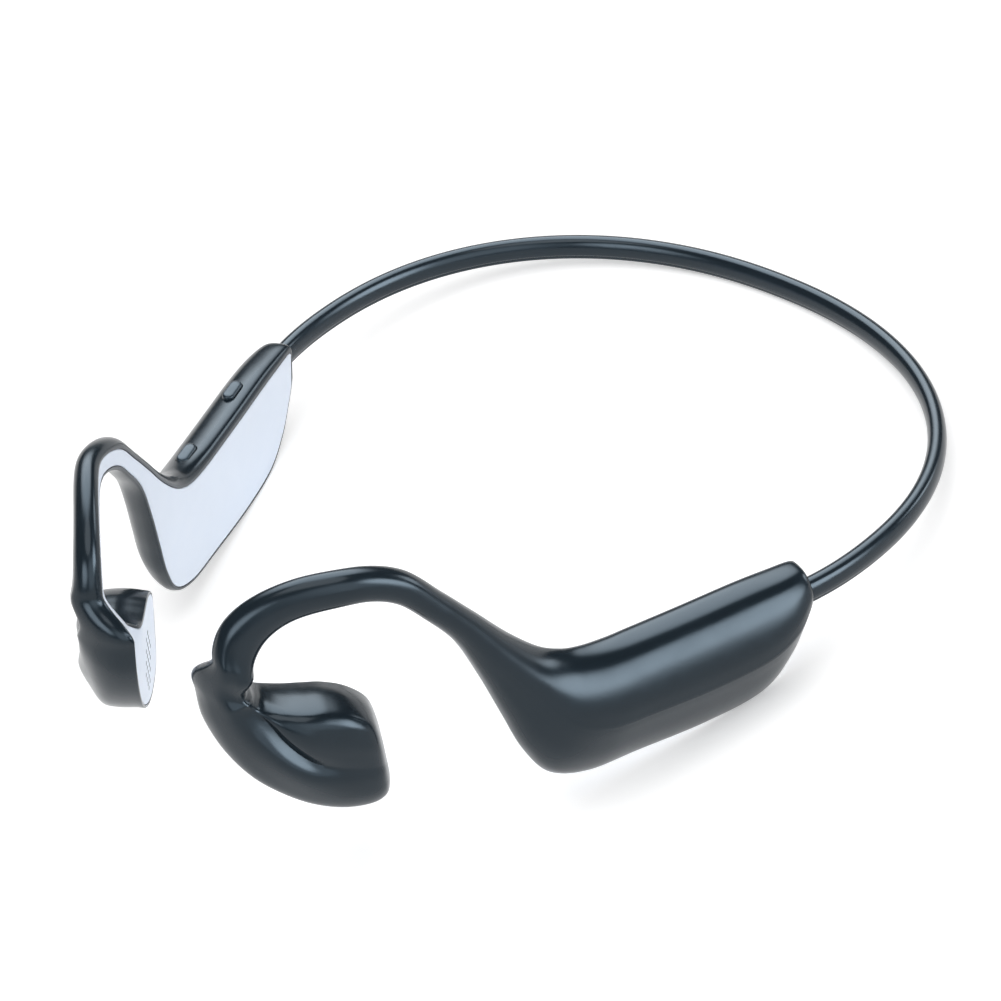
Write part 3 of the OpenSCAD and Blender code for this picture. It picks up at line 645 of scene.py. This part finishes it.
def grille_tree():
    """Drills a staggered field of holes through a plate that lies across z at the origin."""
    tree, given = new_tree("Grille holes", {
        "Hole diameter": 0.0008, "Pitch": 0.00175, "Half width": 0.0037, "Half height": 0.0056,
        "Drill depth": 0.006, "Rows": 9, "Material": None})
    node = partial(add_node, tree)
    span = node("ShaderNodeMath", {0: given["Rows"], 1: -1.0}, operation="ADD")
    across = node("ShaderNodeMath", {0: given["Pitch"], 1: span}, operation="MULTIPLY")
    up = node("ShaderNodeMath", {0: across, 1: math.sqrt(0.75)}, operation="MULTIPLY")
    grid = node("GeometryNodeMeshGrid", {
        "Size X": up, "Size Y": across, "Vertices X": given["Rows"], "Vertices Y": given["Rows"]})
    # Every second line of holes is moved on by half the pitch.
    shift = node("GeometryNodeInputIndex")
    for operation, by in (("DIVIDE", given["Rows"]), ("FLOOR", 0.0), ("MODULO", 2.0),
                          ("MULTIPLY", given["Pitch"]), ("MULTIPLY", 0.5)):
        shift = node("ShaderNodeMath", {0: shift, 1: by}, operation=operation)
    offset = node("ShaderNodeCombineXYZ", {"Y": shift})
    stagger = node("GeometryNodeSetPosition", {"Geometry": grid, "Offset": offset})
    turned = node("GeometryNodeTransform", {"Geometry": stagger, "Rotation": (0, 0, math.pi / 2)})
    # Only the holes inside an ellipse stay.
    where = node("GeometryNodeInputPosition")
    parts = node("ShaderNodeSeparateXYZ", {0: where})
    terms = []
    for axis, size in (("X", "Half width"), ("Y", "Half height")):
        ratio = node("ShaderNodeMath", {0: parts.outputs[axis], 1: given[size]}, operation="DIVIDE")
        terms.append(node("ShaderNodeMath", {0: ratio, 1: ratio}, operation="MULTIPLY"))
    total = node("ShaderNodeMath", {0: terms[0], 1: terms[1]}, operation="ADD")
    outside = node("ShaderNodeMath", {0: total, 1: 1.0}, operation="GREATER_THAN")
    kept = node("GeometryNodeDeleteGeometry", {"Geometry": turned, "Selection": outside})
    radius = node("ShaderNodeMath", {0: given["Hole diameter"], 1: 0.5}, operation="MULTIPLY")
    drill = node("GeometryNodeMeshCylinder", {
        "Vertices": 24, "Radius": radius, "Depth": given["Drill depth"]})
    drills = node("GeometryNodeInstanceOnPoints", {"Points": kept, "Instance": drill})
    real = node("GeometryNodeRealizeInstances", {"Geometry": drills})
    drilled = node("GeometryNodeMeshBoolean", {"Mesh 1": given["Geometry"], "Mesh 2": real},
                   operation="DIFFERENCE", solver="EXACT")
    return end_tree(tree, drilled, given["Material"])


# ---- finishes ----

def finish(name, base, roughness, grain_mm=0.3, grain=0.05, drift=0.06, brushed=1.0, **skin):
    """A finish whose colour drifts a little over some centimetres, whose gloss varies in smudges of a
    few millimetres, and whose grain has a real size. skin holds the surface's own plain settings."""
    if name in bpy.data.materials:
        return bpy.data.materials[name]
    mat = bpy.data.materials.new(name)
    tree = empty_tree(mat)
    node = partial(add_node, tree)
    cloud_mm, smudge_mm = 14, 4
    where = node("ShaderNodeTexCoord").outputs["Object"]
    drawn = node("ShaderNodeMapping", {"Vector": where, "Scale": (1 / brushed, 1, 1)})
    cloud = node("ShaderNodeTexNoise", {"Vector": where, "Scale": 1 / (cloud_mm * MM), "Detail": 3.0})
    smudge = node("ShaderNodeTexNoise", {
        "Vector": where, "Scale": 1 / (smudge_mm * MM), "Detail": 5.0, "Distortion": 0.6})
    grit = node("ShaderNodeTexNoise", {"Vector": drawn, "Scale": 1 / (grain_mm * MM), "Detail": 4.0})
    tone = node("ShaderNodeValToRGB", {"Fac": cloud})
    low, high = 0.3, 0.7
    for stop, at, factor in zip(tone.color_ramp.elements, (low, high), (1 - drift, 1 + drift)):
        stop.position = at
        stop.color = (*[min(1.0, c * factor) for c in base], 1)
    gloss = node("ShaderNodeMapRange", {
        "Value": smudge, "From Min": low, "From Max": high,
        "To Min": roughness * 0.85, "To Max": min(1.0, roughness * 1.18)})
    bump = node("ShaderNodeBump", {"Height": grit, "Strength": grain, "Distance": grain_mm * MM * 0.4})
    surface = node("ShaderNodeBsdfPrincipled", {
        "Base Color": tone, "Roughness": gloss, "Normal": bump,
        **{key.replace("_", " "): value for key, value in skin.items()}})
    node("ShaderNodeOutputMaterial", {"Surface": surface})
    arrange(tree)
    return mat


# The cool cast of the gloss on the dark pieces.
BLUE_GLOSS = (0.78, 0.9, 1, 1)


def shell_finish(colours):
    # Injection-moulded ABS from a polished tool: deep blue grey, with a blue cast in its gloss.
    return finish("polished_moulded_abs", colours.shell, 0.2, grain_mm=0.7, grain=0.02, IOR=1.46,
                  Specular_IOR_Level=0.35, Specular_Tint=BLUE_GLOSS)


def plate_finish(colours):
    # Satin ABS, pale blue white, from a very finely spark-eroded tool.
    return finish("satin_moulded_abs", colours.plate, 0.42, grain_mm=0.25, grain=0.05, drift=0.012)


def painted_hole_shade_finish(colours):
    # Painted shade: the same ABS inside the drilled holes, its colour darkened to 12 percent of the plate's,
    # since the holes see little light.
    return finish("shaded_hole_wall", [0.12 * c for c in colours.plate], 0.6, grain_mm=0.1, grain=0.1)


def band_finish(colours):
    # Overmoulded silicone: soft gloss, a little uneven where it has been handled.
    return finish("overmoulded_silicone", colours.band, 0.2, grain_mm=0.4, grain=0.03, IOR=1.43,
                  Specular_IOR_Level=0.45, Specular_Tint=BLUE_GLOSS)


def key_finish(colours):
    # Soft silicone key tops and the port flap, a shade lighter than the shell.
    return finish("soft_key_silicone", colours.button, 0.3, grain_mm=0.3, grain=0.03, IOR=1.43,
                  Specular_Tint=BLUE_GLOSS)


# Finishes of the carried-over CAD parts, by the record's material slot:
# name, colour, roughness, size of the grain in mm, strength of the grain, length of its streaks, metallic.
INNER_FINISHES = {
    "spring": ("drawn_spring_steel", "B9B9B5", 0.26, 0.08, 0.2, 12, 1),    # bright drawn wire
    "lead": ("red_wire_insulation", "A4221E", 0.42, 0.2, 0.08, 1, 0),      # thin PVC insulation
    "clamp": ("milled_steel", "8B8D91", 0.34, 0.12, 0.3, 8, 1),            # milled block with tool marks
    "screw": ("plated_screw_steel", "B5B7BA", 0.22, 0.1, 0.1, 1, 1),       # zinc-plated steel
    "basket": ("pressed_steel_can", "84868A", 0.36, 0.3, 0.15, 1, 1),      # pressed and passivated
    "magnet": ("nickel_plated_magnet", "A3A5A9", 0.18, 0.2, 0.05, 1, 1),   # nickel plate on a sintered disc
    "coil": ("enamelled_copper_winding", "B4653A", 0.3, 0.09, 0.6, 20, 1), # fine wound wire
    "diaphragm": ("polyester_film", "CFCFC9", 0.3, 1.2, 0.1, 1, 0),        # thin clear-white film
    "gasket": ("foam_gasket", "202022", 0.85, 0.25, 0.8, 1, 0),            # open-cell foam ring
    "mesh": ("woven_acoustic_mesh", "4B4D51", 0.5, 0.12, 0.9, 1, 0.6),     # fine woven metal cloth
    "cell": ("aluminium_pouch_foil", "C6C8CB", 0.28, 0.8, 0.25, 1, 1),     # laminated pouch foil
    "foam": ("adhesive_foam_pad", "39393A", 0.9, 0.3, 0.8, 1, 0),          # closed-cell foam
    "board": ("solder_masked_board", "1C5C38", 0.34, 0.5, 0.12, 1, 0),     # glass laminate under solder mask
    "chip": ("moulded_chip_package", "151517", 0.55, 0.06, 0.3, 1, 0),     # epoxy moulding
    "shield": ("tin_plated_shield", "C4C6C8", 0.24, 0.2, 0.1, 6, 1),       # rolled tin plate
    "antenna": ("fired_ceramic_antenna", "E4E3DE", 0.4, 0.15, 0.1, 1, 0),  # fired ceramic
    "socket": ("drawn_socket_shell", "BEC0C2", 0.22, 0.2, 0.1, 6, 1),      # drawn stainless shell
    "switch": ("moulded_switch_body", "28282A", 0.5, 0.1, 0.2, 1, 0),      # glass-filled nylon
    "microphone": ("plated_microphone_can", "C9BA80", 0.26, 0.2, 0.1, 1, 1),  # thin gold flash
    "light": ("clear_light_pipe", "EDF1F3", 0.08, 0.5, 0.02, 1, 0),        # clear acrylic
}


# ---- pieces ----

def row_places(form, *extra):
    """Places along the module: every tenth of a row, and these."""
    return sorted({i / 10 for i in range(10 * form.last + 1)} | set(extra))


def within(span, x):
    """Whether a place lies inside a span of rows."""
    return span[0] < x < span[1]


def shell_ring(form, x, seat, hollow):
    """One closed ring of the shell: the outside, the rim, the cover's seat and the cavity."""
    row = form.row_at(x)
    width, box = form.row_width(row), row[5]
    outline = form.section(row)
    inset = quarter(form.end_round, form.end_distance(x))
    least, step = 0.05, 0.001
    shrink = max(least, 1 - 2 * inset / width)
    across = 0.5 + (outline[:, 0] - 0.5) * shrink
    out = outline[:, 1] * max(least, form.depth_at(row) - inset)
    # The moulded edge draws in where the outside meets the rim.
    low = np.clip((form.edge - out) / form.edge, 0, 1)
    draw = form.edge * (1 - np.sqrt(1 - low ** 2)) / width
    across = across + np.where(outline[:, 0] < 0.5, draw, -draw)
    # The rim is wider along the top of the box. The ledges carry the cover.
    rim = 0.5 - 0.5 * shrink + form.rim / width + form.plate_corner(x) / width
    top_rim = rim + form.rim_top * box / width
    ledge = rim + form.wall * LEDGE / width
    top_ledge = top_rim + form.wall * TOP_LEDGE / width
    seat_depth = form.cover if seat else 0.0
    floor = [(1 - rim, 0.0), (1 - rim, seat_depth), (1 - ledge, seat_depth)]
    for a, o in form.cavity(row, seat_depth):
        if not hollow:
            # Near the ends the shell is solid up to the seat.
            a, o = 0.5 + (a - 0.5) * 0.9, seat_depth
        floor.append((min(1 - ledge - step, max(top_ledge + step, a)), o))
    floor += [(top_ledge, seat_depth), (top_rim, seat_depth), (top_rim, 0.0)]
    across = np.concatenate([across, [f[0] for f in floor]])
    out = np.concatenate([out, [f[1] for f in floor]])
    return form.row_points(row, across, out)


def build_shell(form, name):
    """The left shell, hollow, with the cover's seat cut in its inner face."""
    # The ends are round, so there are some rings close to them.
    ends = (0.008, 0.03, 0.06)
    rings = []
    for x in row_places(form, *ends, *(form.last - e for e in ends)):
        # Where the seat or the cavity starts or stops, the place has a ring from each side of the step.
        beside = (x - 0.001, x + 0.001) if x in SEAT_SPAN + CAVITY_SPAN else (x,)
        rings += [shell_ring(form, x, within(SEAT_SPAN, b), within(CAVITY_SPAN, b)) for b in beside]
    verts, faces = loft(rings)
    return new_object(name, place(verts), faces)


def plate_ring(form, x, gap=0.1, ease=0.14, count=27):
    """One ring of the cover plate, with this gap to its seat and slightly rounded outer edges."""
    row = form.row_at(x)
    width, box = form.row_width(row), row[5]
    inset = form.rim + gap + form.plate_corner(x)
    soft = ease / width
    low = (inset + form.rim_top * box) / width
    high = 1 - inset / width
    lip = quarter(ease, max(0.0, min(x - COVER_SPAN[0], COVER_SPAN[1] - x) * ROW_LENGTH))
    face = np.linspace(low + soft, high - soft, count)
    side = [form.cover, ease + lip, 0.3 * ease + lip]
    across = [low, low, low + 0.3 * soft, *face, high - 0.3 * soft, high, high]
    return form.row_points(row, across, [*side, *[lip] * count, *reversed(side)])


def build_plate(form, name):
    """The left cover plate, before its grille is drilled."""
    start, stop = COVER_SPAN
    rings = [plate_ring(form, x) for x in row_places(form, start, stop) if start <= x <= stop]
    verts, faces = loft(rings)
    return new_object(name, place(verts), faces)


def drill_grille(plate, form, detail, material, shade):
    """Moves the plate so that its pod lies across z, drills it, gives the holes' walls a painted shade, and
    moves it back.
    """
    spot = frame_at(form, POD_MIDDLE, POD_YAW) @ Matrix.Scale(1 / MM, 4)
    plate.data.transform(spot.inverted())
    run_tree(plate, grille_tree(), {
        "Hole diameter": detail.hole, "Pitch": detail.pitch, "Half width": detail.grille_w / 2,
        "Half height": detail.grille_h / 2, "Material": material})
    plate.data.materials.append(shade)
    shaded = len(plate.data.materials) - 1
    # The upright faces in the field are the walls of the holes, and they take the painted shade.
    for face in plate.data.polygons:
        x, y, z = face.center
        in_field = (2 * x / detail.grille_w) ** 2 + (2 * y / detail.grille_h) ** 2 < 1.3
        if in_field and abs(z) < 2 * MM and abs(face.normal.z) < 0.3:
            face.material_index = shaded
    plate.data.transform(spot)
    tidy_mesh(plate)


def button_places(form):
    """Where each volume button stands: on the top face, its own y axis along the press."""
    return {name: frame_at(form, spot, form.box_yaw, BUTTON_OUT) for name, spot in BUTTONS.items()}


def flap_place(form):
    """Where the charge port flap lies: on the lower flank, its own z axis square to it."""
    return frame_at(form, FLAP, form.box_yaw, PORT_OUT) @ Matrix.Rotation(FLANK_TILT, 4, "X")


def right_side_cutters(form, detail):
    """Slots for the buttons, the recess for the flap, the port's mouth, and the two small holes."""
    gap = detail.gap / MM
    slot = slot_outline(detail.button_l / MM + 2 * gap, detail.button_w / MM + 2 * gap)
    recess = plate_outline(detail.flap_l / MM + 2 * gap, detail.flap_w / MM + 2 * gap, RECESS_CORNER)
    cutters = [straight(slot, -1.2, 4, spot, upright=True) for spot in button_places(form).values()]
    cutters.append(straight(recess, -FLAP_DEPTH, 4, flap_place(form)))
    mouth = frame_at(form, PORT, form.box_yaw, PORT_OUT)
    cutters.append(straight(slot_outline(*PORT_MOUTH), -12, 3, mouth, upright=True))
    board = frame_at(form, BOARD, form.box_yaw)
    for x, y, hole in SMALL_HOLES:
        # A little length keeps the two ends of this slot apart, so that it makes a round hole.
        cutters.append(straight(slot_outline(hole + 0.001, hole), 4.5, 11,
                                board @ Matrix.Translation((x, y, 0))))
    return cutters


def build_button(detail, spot, name):
    """A volume button: a slot-shaped key with a softly domed top and a flange inside the shell."""
    face, low = 0.88, -1.5
    top = face + detail.button_up / MM
    outline = slot_outline(detail.button_l / MM, detail.button_w / MM)
    dome = ((0, 0.42), (0.03, 0.28), (0.12, 0.15), (0.28, 0.06), (0.5, 0.02), (0.75, 0), (1.0, 0))
    flange = [(-0.3, low - 0.4), (-0.3, low), (0, low)]
    crown = [(inset, top - drop) for inset, drop in dome]
    return new_object(name, *stack(outline, flange + crown, spot, upright=True), sharp_angle=50)


def build_flap(detail, spot, name):
    """The port flap: a soft plate with eased edges and a nail groove at its rear end."""
    outline = plate_outline(detail.flap_l / MM, detail.flap_w / MM, FLAP_CORNER)
    edge = [(0, 0.04 - FLAP_DEPTH), (0, -0.04), (0.04, 0.05), (0.14, 0.11)]
    edge += [(inset, 0.14) for inset in (0.3, 1.2, 2.6)]
    flap = new_object(name, *stack(outline, edge, spot), sharp_angle=50)
    groove_l, groove_w, from_end = 3.2, 0.7, 1.1
    groove = slot_outline(groove_l, groove_w) @ np.array([[0, 1], [-1, 0]])
    rear = spot @ Matrix.Translation((detail.flap_l / MM / 2 - from_end, 0, 0))
    return cut(flap, [stack(groove, [(0.25, -0.2), (0, 0.4)], rear)])


def smooth_loop(points, steps=4):
    """A closed smooth curve through the points."""
    near = [np.roll(points, k, 0) for k in (1, 0, -1, -2)]
    return np.stack([between(*near, q) for q in np.arange(steps) / steps], axis=1).reshape(-1, 2)


def build_band_half(band, material, name):
    """The left half of the neckband, swept from its section by the node tree."""
    outline = smooth_loop(BAND_SECTION) * [band.width / 2, band.height / 2]
    n = len(outline)
    section = new_mesh(name, [(x, y, 0) for x, y in outline], [(k, (k + 1) % n) for k in range(n)])
    half = add_object(name, section)
    run_tree(half, neckband_tree(), {
        "Half width": band.half, "Reach": band.reach, "Squareness": band.power, "Widest place": band.widest,
        "Height": band.level, "Start angle": band.start, "End angle": math.pi / 2, "Material": material})
    half.data.transform(place_matrix() @ Matrix.Scale(1 / MM, 4))
    tidy_mesh(half, sharp_angle=60)
    return half


def half_copy(source, side, name):
    """A closed copy of one half of a carried-over part that runs along the neckband."""
    half = add_object(name, bpy.data.meshes.new(name))
    work = bmesh.new()
    work.from_mesh(source.data)
    bmesh.ops.remove_doubles(work, verts=work.verts, dist=MERGE)
    parts = work.verts[:] + work.edges[:] + work.faces[:]
    bmesh.ops.bisect_plane(work, geom=parts, dist=MERGE, plane_co=(0, 0, 0), plane_no=(-side, 0, 0),
                           clear_outer=True)
    bmesh.ops.holes_fill(work, edges=[e for e in work.edges if len(e.link_faces) == 1], sides=0)
    work.to_mesh(half.data)
    work.free()
    tidy_mesh(half)
    return half


def bend(half):
    """Bakes the placement of one half of the neckband into its mesh."""
    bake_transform(half)


def coat(obj, material):
    """Gives a piece this finish and no other."""
    obj.data.materials.clear()
    obj.data.materials.append(material)


def dress(obj, node, material, body=None):
    """Gives a piece its finish, hides the CAD node that it stands for, and hangs it on its body if one is
    given.
    """
    if material.name not in obj.data.materials:
        coat(obj, material)
    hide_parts(node)
    if body:
        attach(obj, body)


# ---- operators ----

class HEADPHONES_OT_shells(bpy.types.Operator):
    """Builds the two moulded shells with their rims, creases, cover seats, slots and holes"""
    bl_idname = "headphones.shells"
    bl_label = "Module Shells"

    def execute(self, context):
        scene = context.scene
        form = ModuleForm(scene.headphone_module)
        material = shell_finish(scene.headphone_colours)
        left = build_shell(form, "left_shell_moulding")
        right = build_shell(form, "right_shell_moulding")
        cut(right, right_side_cutters(form, scene.headphone_detail))
        dress(left, "left_shell", material, "left_module")
        dress(mirrored(right), "right_shell", material, "right_module")
        return {"FINISHED"}


class HEADPHONES_OT_plates(bpy.types.Operator):
    """Builds the pale cover plates and drills the grille in each"""
    bl_idname = "headphones.plates"
    bl_label = "Cover Plates"

    def execute(self, context):
        scene = context.scene
        form = ModuleForm(scene.headphone_module)
        material = plate_finish(scene.headphone_colours)
        # The holes' walls take a finish with a painted shade.
        shade = painted_hole_shade_finish(scene.headphone_colours)
        for side, body in SIDES:
            node = body.replace("module", "cover")
            plate = build_plate(form, f"{node}_plate")
            drill_grille(plate, form, scene.headphone_detail, material, shade)
            if side < 0:
                mirrored(plate)
            dress(plate, node, material, body)
        return {"FINISHED"}


class HEADPHONES_OT_neckband(bpy.types.Operator):
    """Sweeps the two halves of the neckband, one for each side"""
    bl_idname = "headphones.neckband"
    bl_label = "Neckband"

    def execute(self, context):
        scene = context.scene
        material = band_finish(scene.headphone_colours)
        for side, body in SIDES:
            half = build_band_half(scene.headphone_band, material, body.replace("module", "neckband"))
            if side < 0:
                mirrored(half)
            dress(half, "band_sleeve", material)
            bend(half)
        return {"FINISHED"}


class HEADPHONES_OT_controls(bpy.types.Operator):
    """Builds the two volume buttons and the charge port flap"""
    bl_idname = "headphones.controls"
    bl_label = "Buttons and Flap"

    def execute(self, context):
        scene = context.scene
        form = ModuleForm(scene.headphone_module)
        detail = scene.headphone_detail
        material = key_finish(scene.headphone_colours)
        for body, spot in button_places(form).items():
            key = mirrored(build_button(detail, spot, f"{body}_key"))
            dress(key, f"{body}_button", material, body)
        flap = mirrored(build_flap(detail, flap_place(form), "charge_port_flap"))
        dress(flap, "port_flap", material, "flap")
        return {"FINISHED"}


class HEADPHONES_OT_inside(bpy.types.Operator):
    """Finishes the carried-over parts inside: drivers, electronics, battery, clamps and wires"""
    bl_idname = "headphones.inside"
    bl_label = "Inner Parts"

    def execute(self, context):
        slots = {part["node"]: part["material_slot"] for part in frame["record"]["subparts"]}
        for node, obj in frame["nodes"].items():
            # A node that one of the pieces above stands for is hidden.
            if obj.hide_render:
                continue
            name, code, roughness, grain_mm, grain, streak, metallic = INNER_FINISHES[slots[node]]
            clear = {"Transmission_Weight": 0.85} if slots[node] == "light" else {}
            material = finish(name, to_linear(code), roughness, grain_mm, grain, drift=0.04,
                              brushed=streak, Metallic=float(metallic), **clear)
            if node in ("spring_wire", "band_leads"):
                for side, body in SIDES:
                    half = half_copy(obj, side, body.replace("module", node))
                    dress(half, node, material)
                    bend(half)
            else:
                coat(obj, material)
        return {"FINISHED"}


class HEADPHONES_OT_stage(bpy.types.Operator):
    """Sets the floor, the soft light and the camera"""
    bl_idname = "headphones.stage"
    bl_label = "Studio Stage"

    def execute(self, context):
        scene = context.scene
        add_camera(scene)
        add_floor(scene.headphone_colours)
        add_world(scene)
        add_lamp("overhead_softbox", spot=(0.1, -0.1, 0.75), aim=(0, 0, 0.02), size=0.6, watts=2.5)
        scene.view_settings.view_transform = "Standard"
        return {"FINISHED"}


# ---- stage ----

def add_camera(scene):
    """The camera: far away with a narrow view, looking down at 30 degrees on the left module."""
    turn, rise, tip = math.radians(41.2), math.radians(30.0), math.radians(8.0) + REST_TILT
    distance, left, down = 717.6, 7.25, 5.23
    film, lens_per_film = 36, 4.5954
    right = Vector((math.cos(turn), math.sin(turn), 0))
    up = Vector((-math.sin(turn) * math.sin(rise), math.cos(turn) * math.sin(rise), math.cos(rise)))
    back = right.cross(up)
    tilt = Matrix.Rotation(-tip, 3, "X")
    pose = (tilt @ Matrix((right, up, back)).transposed()).to_4x4()
    eye = back * distance - right * left - up * down
    pose.translation = (tilt @ eye + Vector(REST_SHIFT)) * MM
    data = bpy.data.cameras.new("Camera")
    data.sensor_width = film
    data.lens = film * lens_per_film
    data.clip_start = 0.01
    data.clip_end = 20
    camera = add_object("Camera", data)
    camera.matrix_world = pose
    scene.camera = camera


def add_lamp(name, spot, aim, size, watts):
    """A soft round lamp at a spot, aimed at a point."""
    data = bpy.data.lights.new(name, "AREA")
    data.shape = "DISK"
    data.size = size
    data.energy = watts
    turn = (Vector(aim) - Vector(spot)).to_track_quat("-Z", "Y").to_matrix().to_4x4()
    add_object(name, data).matrix_world = Matrix.Translation(Vector(spot)) @ turn


def add_floor(colours, half=3.0, glow=0.35):
    """A wide paper floor that keeps the object's shadow."""
    corners = [(x * half, y * half, 0) for x, y in ((-1, -1), (1, -1), (1, 1), (-1, 1))]
    floor = add_object("floor", new_mesh("floor", corners, faces=[(0, 1, 2, 3)]))
    # Matt white paper with a little light of its own, as a lit backdrop has.
    mat = bpy.data.materials.new("lit_paper")
    tree = empty_tree(mat)
    node = partial(add_node, tree)
    paper = node("ShaderNodeBsdfDiffuse", {"Color": (*colours.backdrop, 1)})
    light = node("ShaderNodeEmission", {"Color": (*colours.backdrop, 1), "Strength": glow})
    both = node("ShaderNodeAddShader", {0: paper, 1: light})
    node("ShaderNodeOutputMaterial", {"Surface": both})
    arrange(tree)
    floor.data.materials.append(mat)


# Soft panels that shiny things see: bearing from the rear and height in degrees, then the half widths of
# the full part and of the faded edge, and the strength.
PANELS = (
    (-42, 47, 16, 36, 7.5),
    (71, 16, 4, 25, 13.0),
    (22, 10, 3, 14, 7.0),
    (174, 26, 5, 22, 7.0),
    (115, 18, 12, 40, 2.6),
)


def add_world(scene, soft=0.55, dim=0.1):
    """An even soft light. Shiny things see it as a dim room with the bright panels in it."""
    scene.world = bpy.data.worlds.new("studio")
    tree = empty_tree(scene.world)
    node = partial(add_node, tree)
    ray = node("ShaderNodeLightPath").outputs
    way = node("ShaderNodeTexCoord").outputs["Generated"]
    room = dim
    for bearing, height, core, edge, strength in PANELS:
        turn, rise = math.radians(bearing), math.radians(height)
        aim = (math.sin(turn) * math.cos(rise), math.cos(turn) * math.cos(rise), math.sin(rise))
        toward = node("ShaderNodeVectorMath", {0: way, 1: aim}, operation="DOT_PRODUCT")
        glow = node("ShaderNodeMapRange", {
            "Value": toward.outputs["Value"], "From Min": math.cos(math.radians(edge)),
            "From Max": math.cos(math.radians(core)), "To Max": strength}, interpolation_type="SMOOTHSTEP")
        room = node("ShaderNodeMath", {0: room, 1: glow})
    white, cool = (1, 1, 1, 1), (0.86, 0.94, 1, 1)
    even = node("ShaderNodeBackground", {"Color": white, "Strength": soft})
    seen = node("ShaderNodeBackground", {"Color": cool, "Strength": room})
    plain = node("ShaderNodeBackground", {"Color": white, "Strength": 1.0})
    shiny = node("ShaderNodeMixShader", {0: ray["Is Glossy Ray"], 1: even, 2: seen})
    clear = node("ShaderNodeMath", {0: ray["Is Camera Ray"], 1: ray["Is Transmission Ray"]},
                 operation="MAXIMUM")
    mix = node("ShaderNodeMixShader", {0: clear, 1: shiny, 2: plain})
    node("ShaderNodeOutputWorld", {"Surface": mix})
    arrange(tree)


class HEADPHONES_PT_panel(bpy.types.Panel):
    """Lists the sizes, colours and build steps"""
    bl_idname = "HEADPHONES_PT_panel"
    bl_label = "Headphones"
    bl_space_type = "VIEW_3D"
    bl_region_type = "UI"
    bl_category = "Headphones"

    def draw(self, context):
        for name, group in GROUPS:
            box = self.layout.box()
            for key in group.__annotations__:
                box.prop(getattr(context.scene, name), key)
        for step in STEPS:
            self.layout.operator(step.bl_idname)


GROUPS = (
    ("headphone_module", ModuleSizes),
    ("headphone_band", BandSizes),
    ("headphone_detail", DetailSizes),
    ("headphone_colours", FinishColours),
)
STEPS = (
    HEADPHONES_OT_shells,
    HEADPHONES_OT_plates,
    HEADPHONES_OT_neckband,
    HEADPHONES_OT_controls,
    HEADPHONES_OT_inside,
    HEADPHONES_OT_stage,
)


def register():
    for name, group in GROUPS:
        bpy.utils.register_class(group)
        setattr(bpy.types.Scene, name, bpy.props.PointerProperty(type=group))
    for step in STEPS:
        bpy.utils.register_class(step)
    bpy.utils.register_class(HEADPHONES_PT_panel)


def unregister():
    bpy.utils.unregister_class(HEADPHONES_PT_panel)
    for step in reversed(STEPS):
        bpy.utils.unregister_class(step)
    for name, group in reversed(GROUPS):
        delattr(bpy.types.Scene, name)
        bpy.utils.unregister_class(group)


def main():
    register()
    bpy.ops.headphones.shells()
    bpy.ops.headphones.plates()
    bpy.ops.headphones.neckband()
    bpy.ops.headphones.controls()
    bpy.ops.headphones.inside()
    bpy.ops.headphones.stage()


if __name__ == "__main__":
    main()
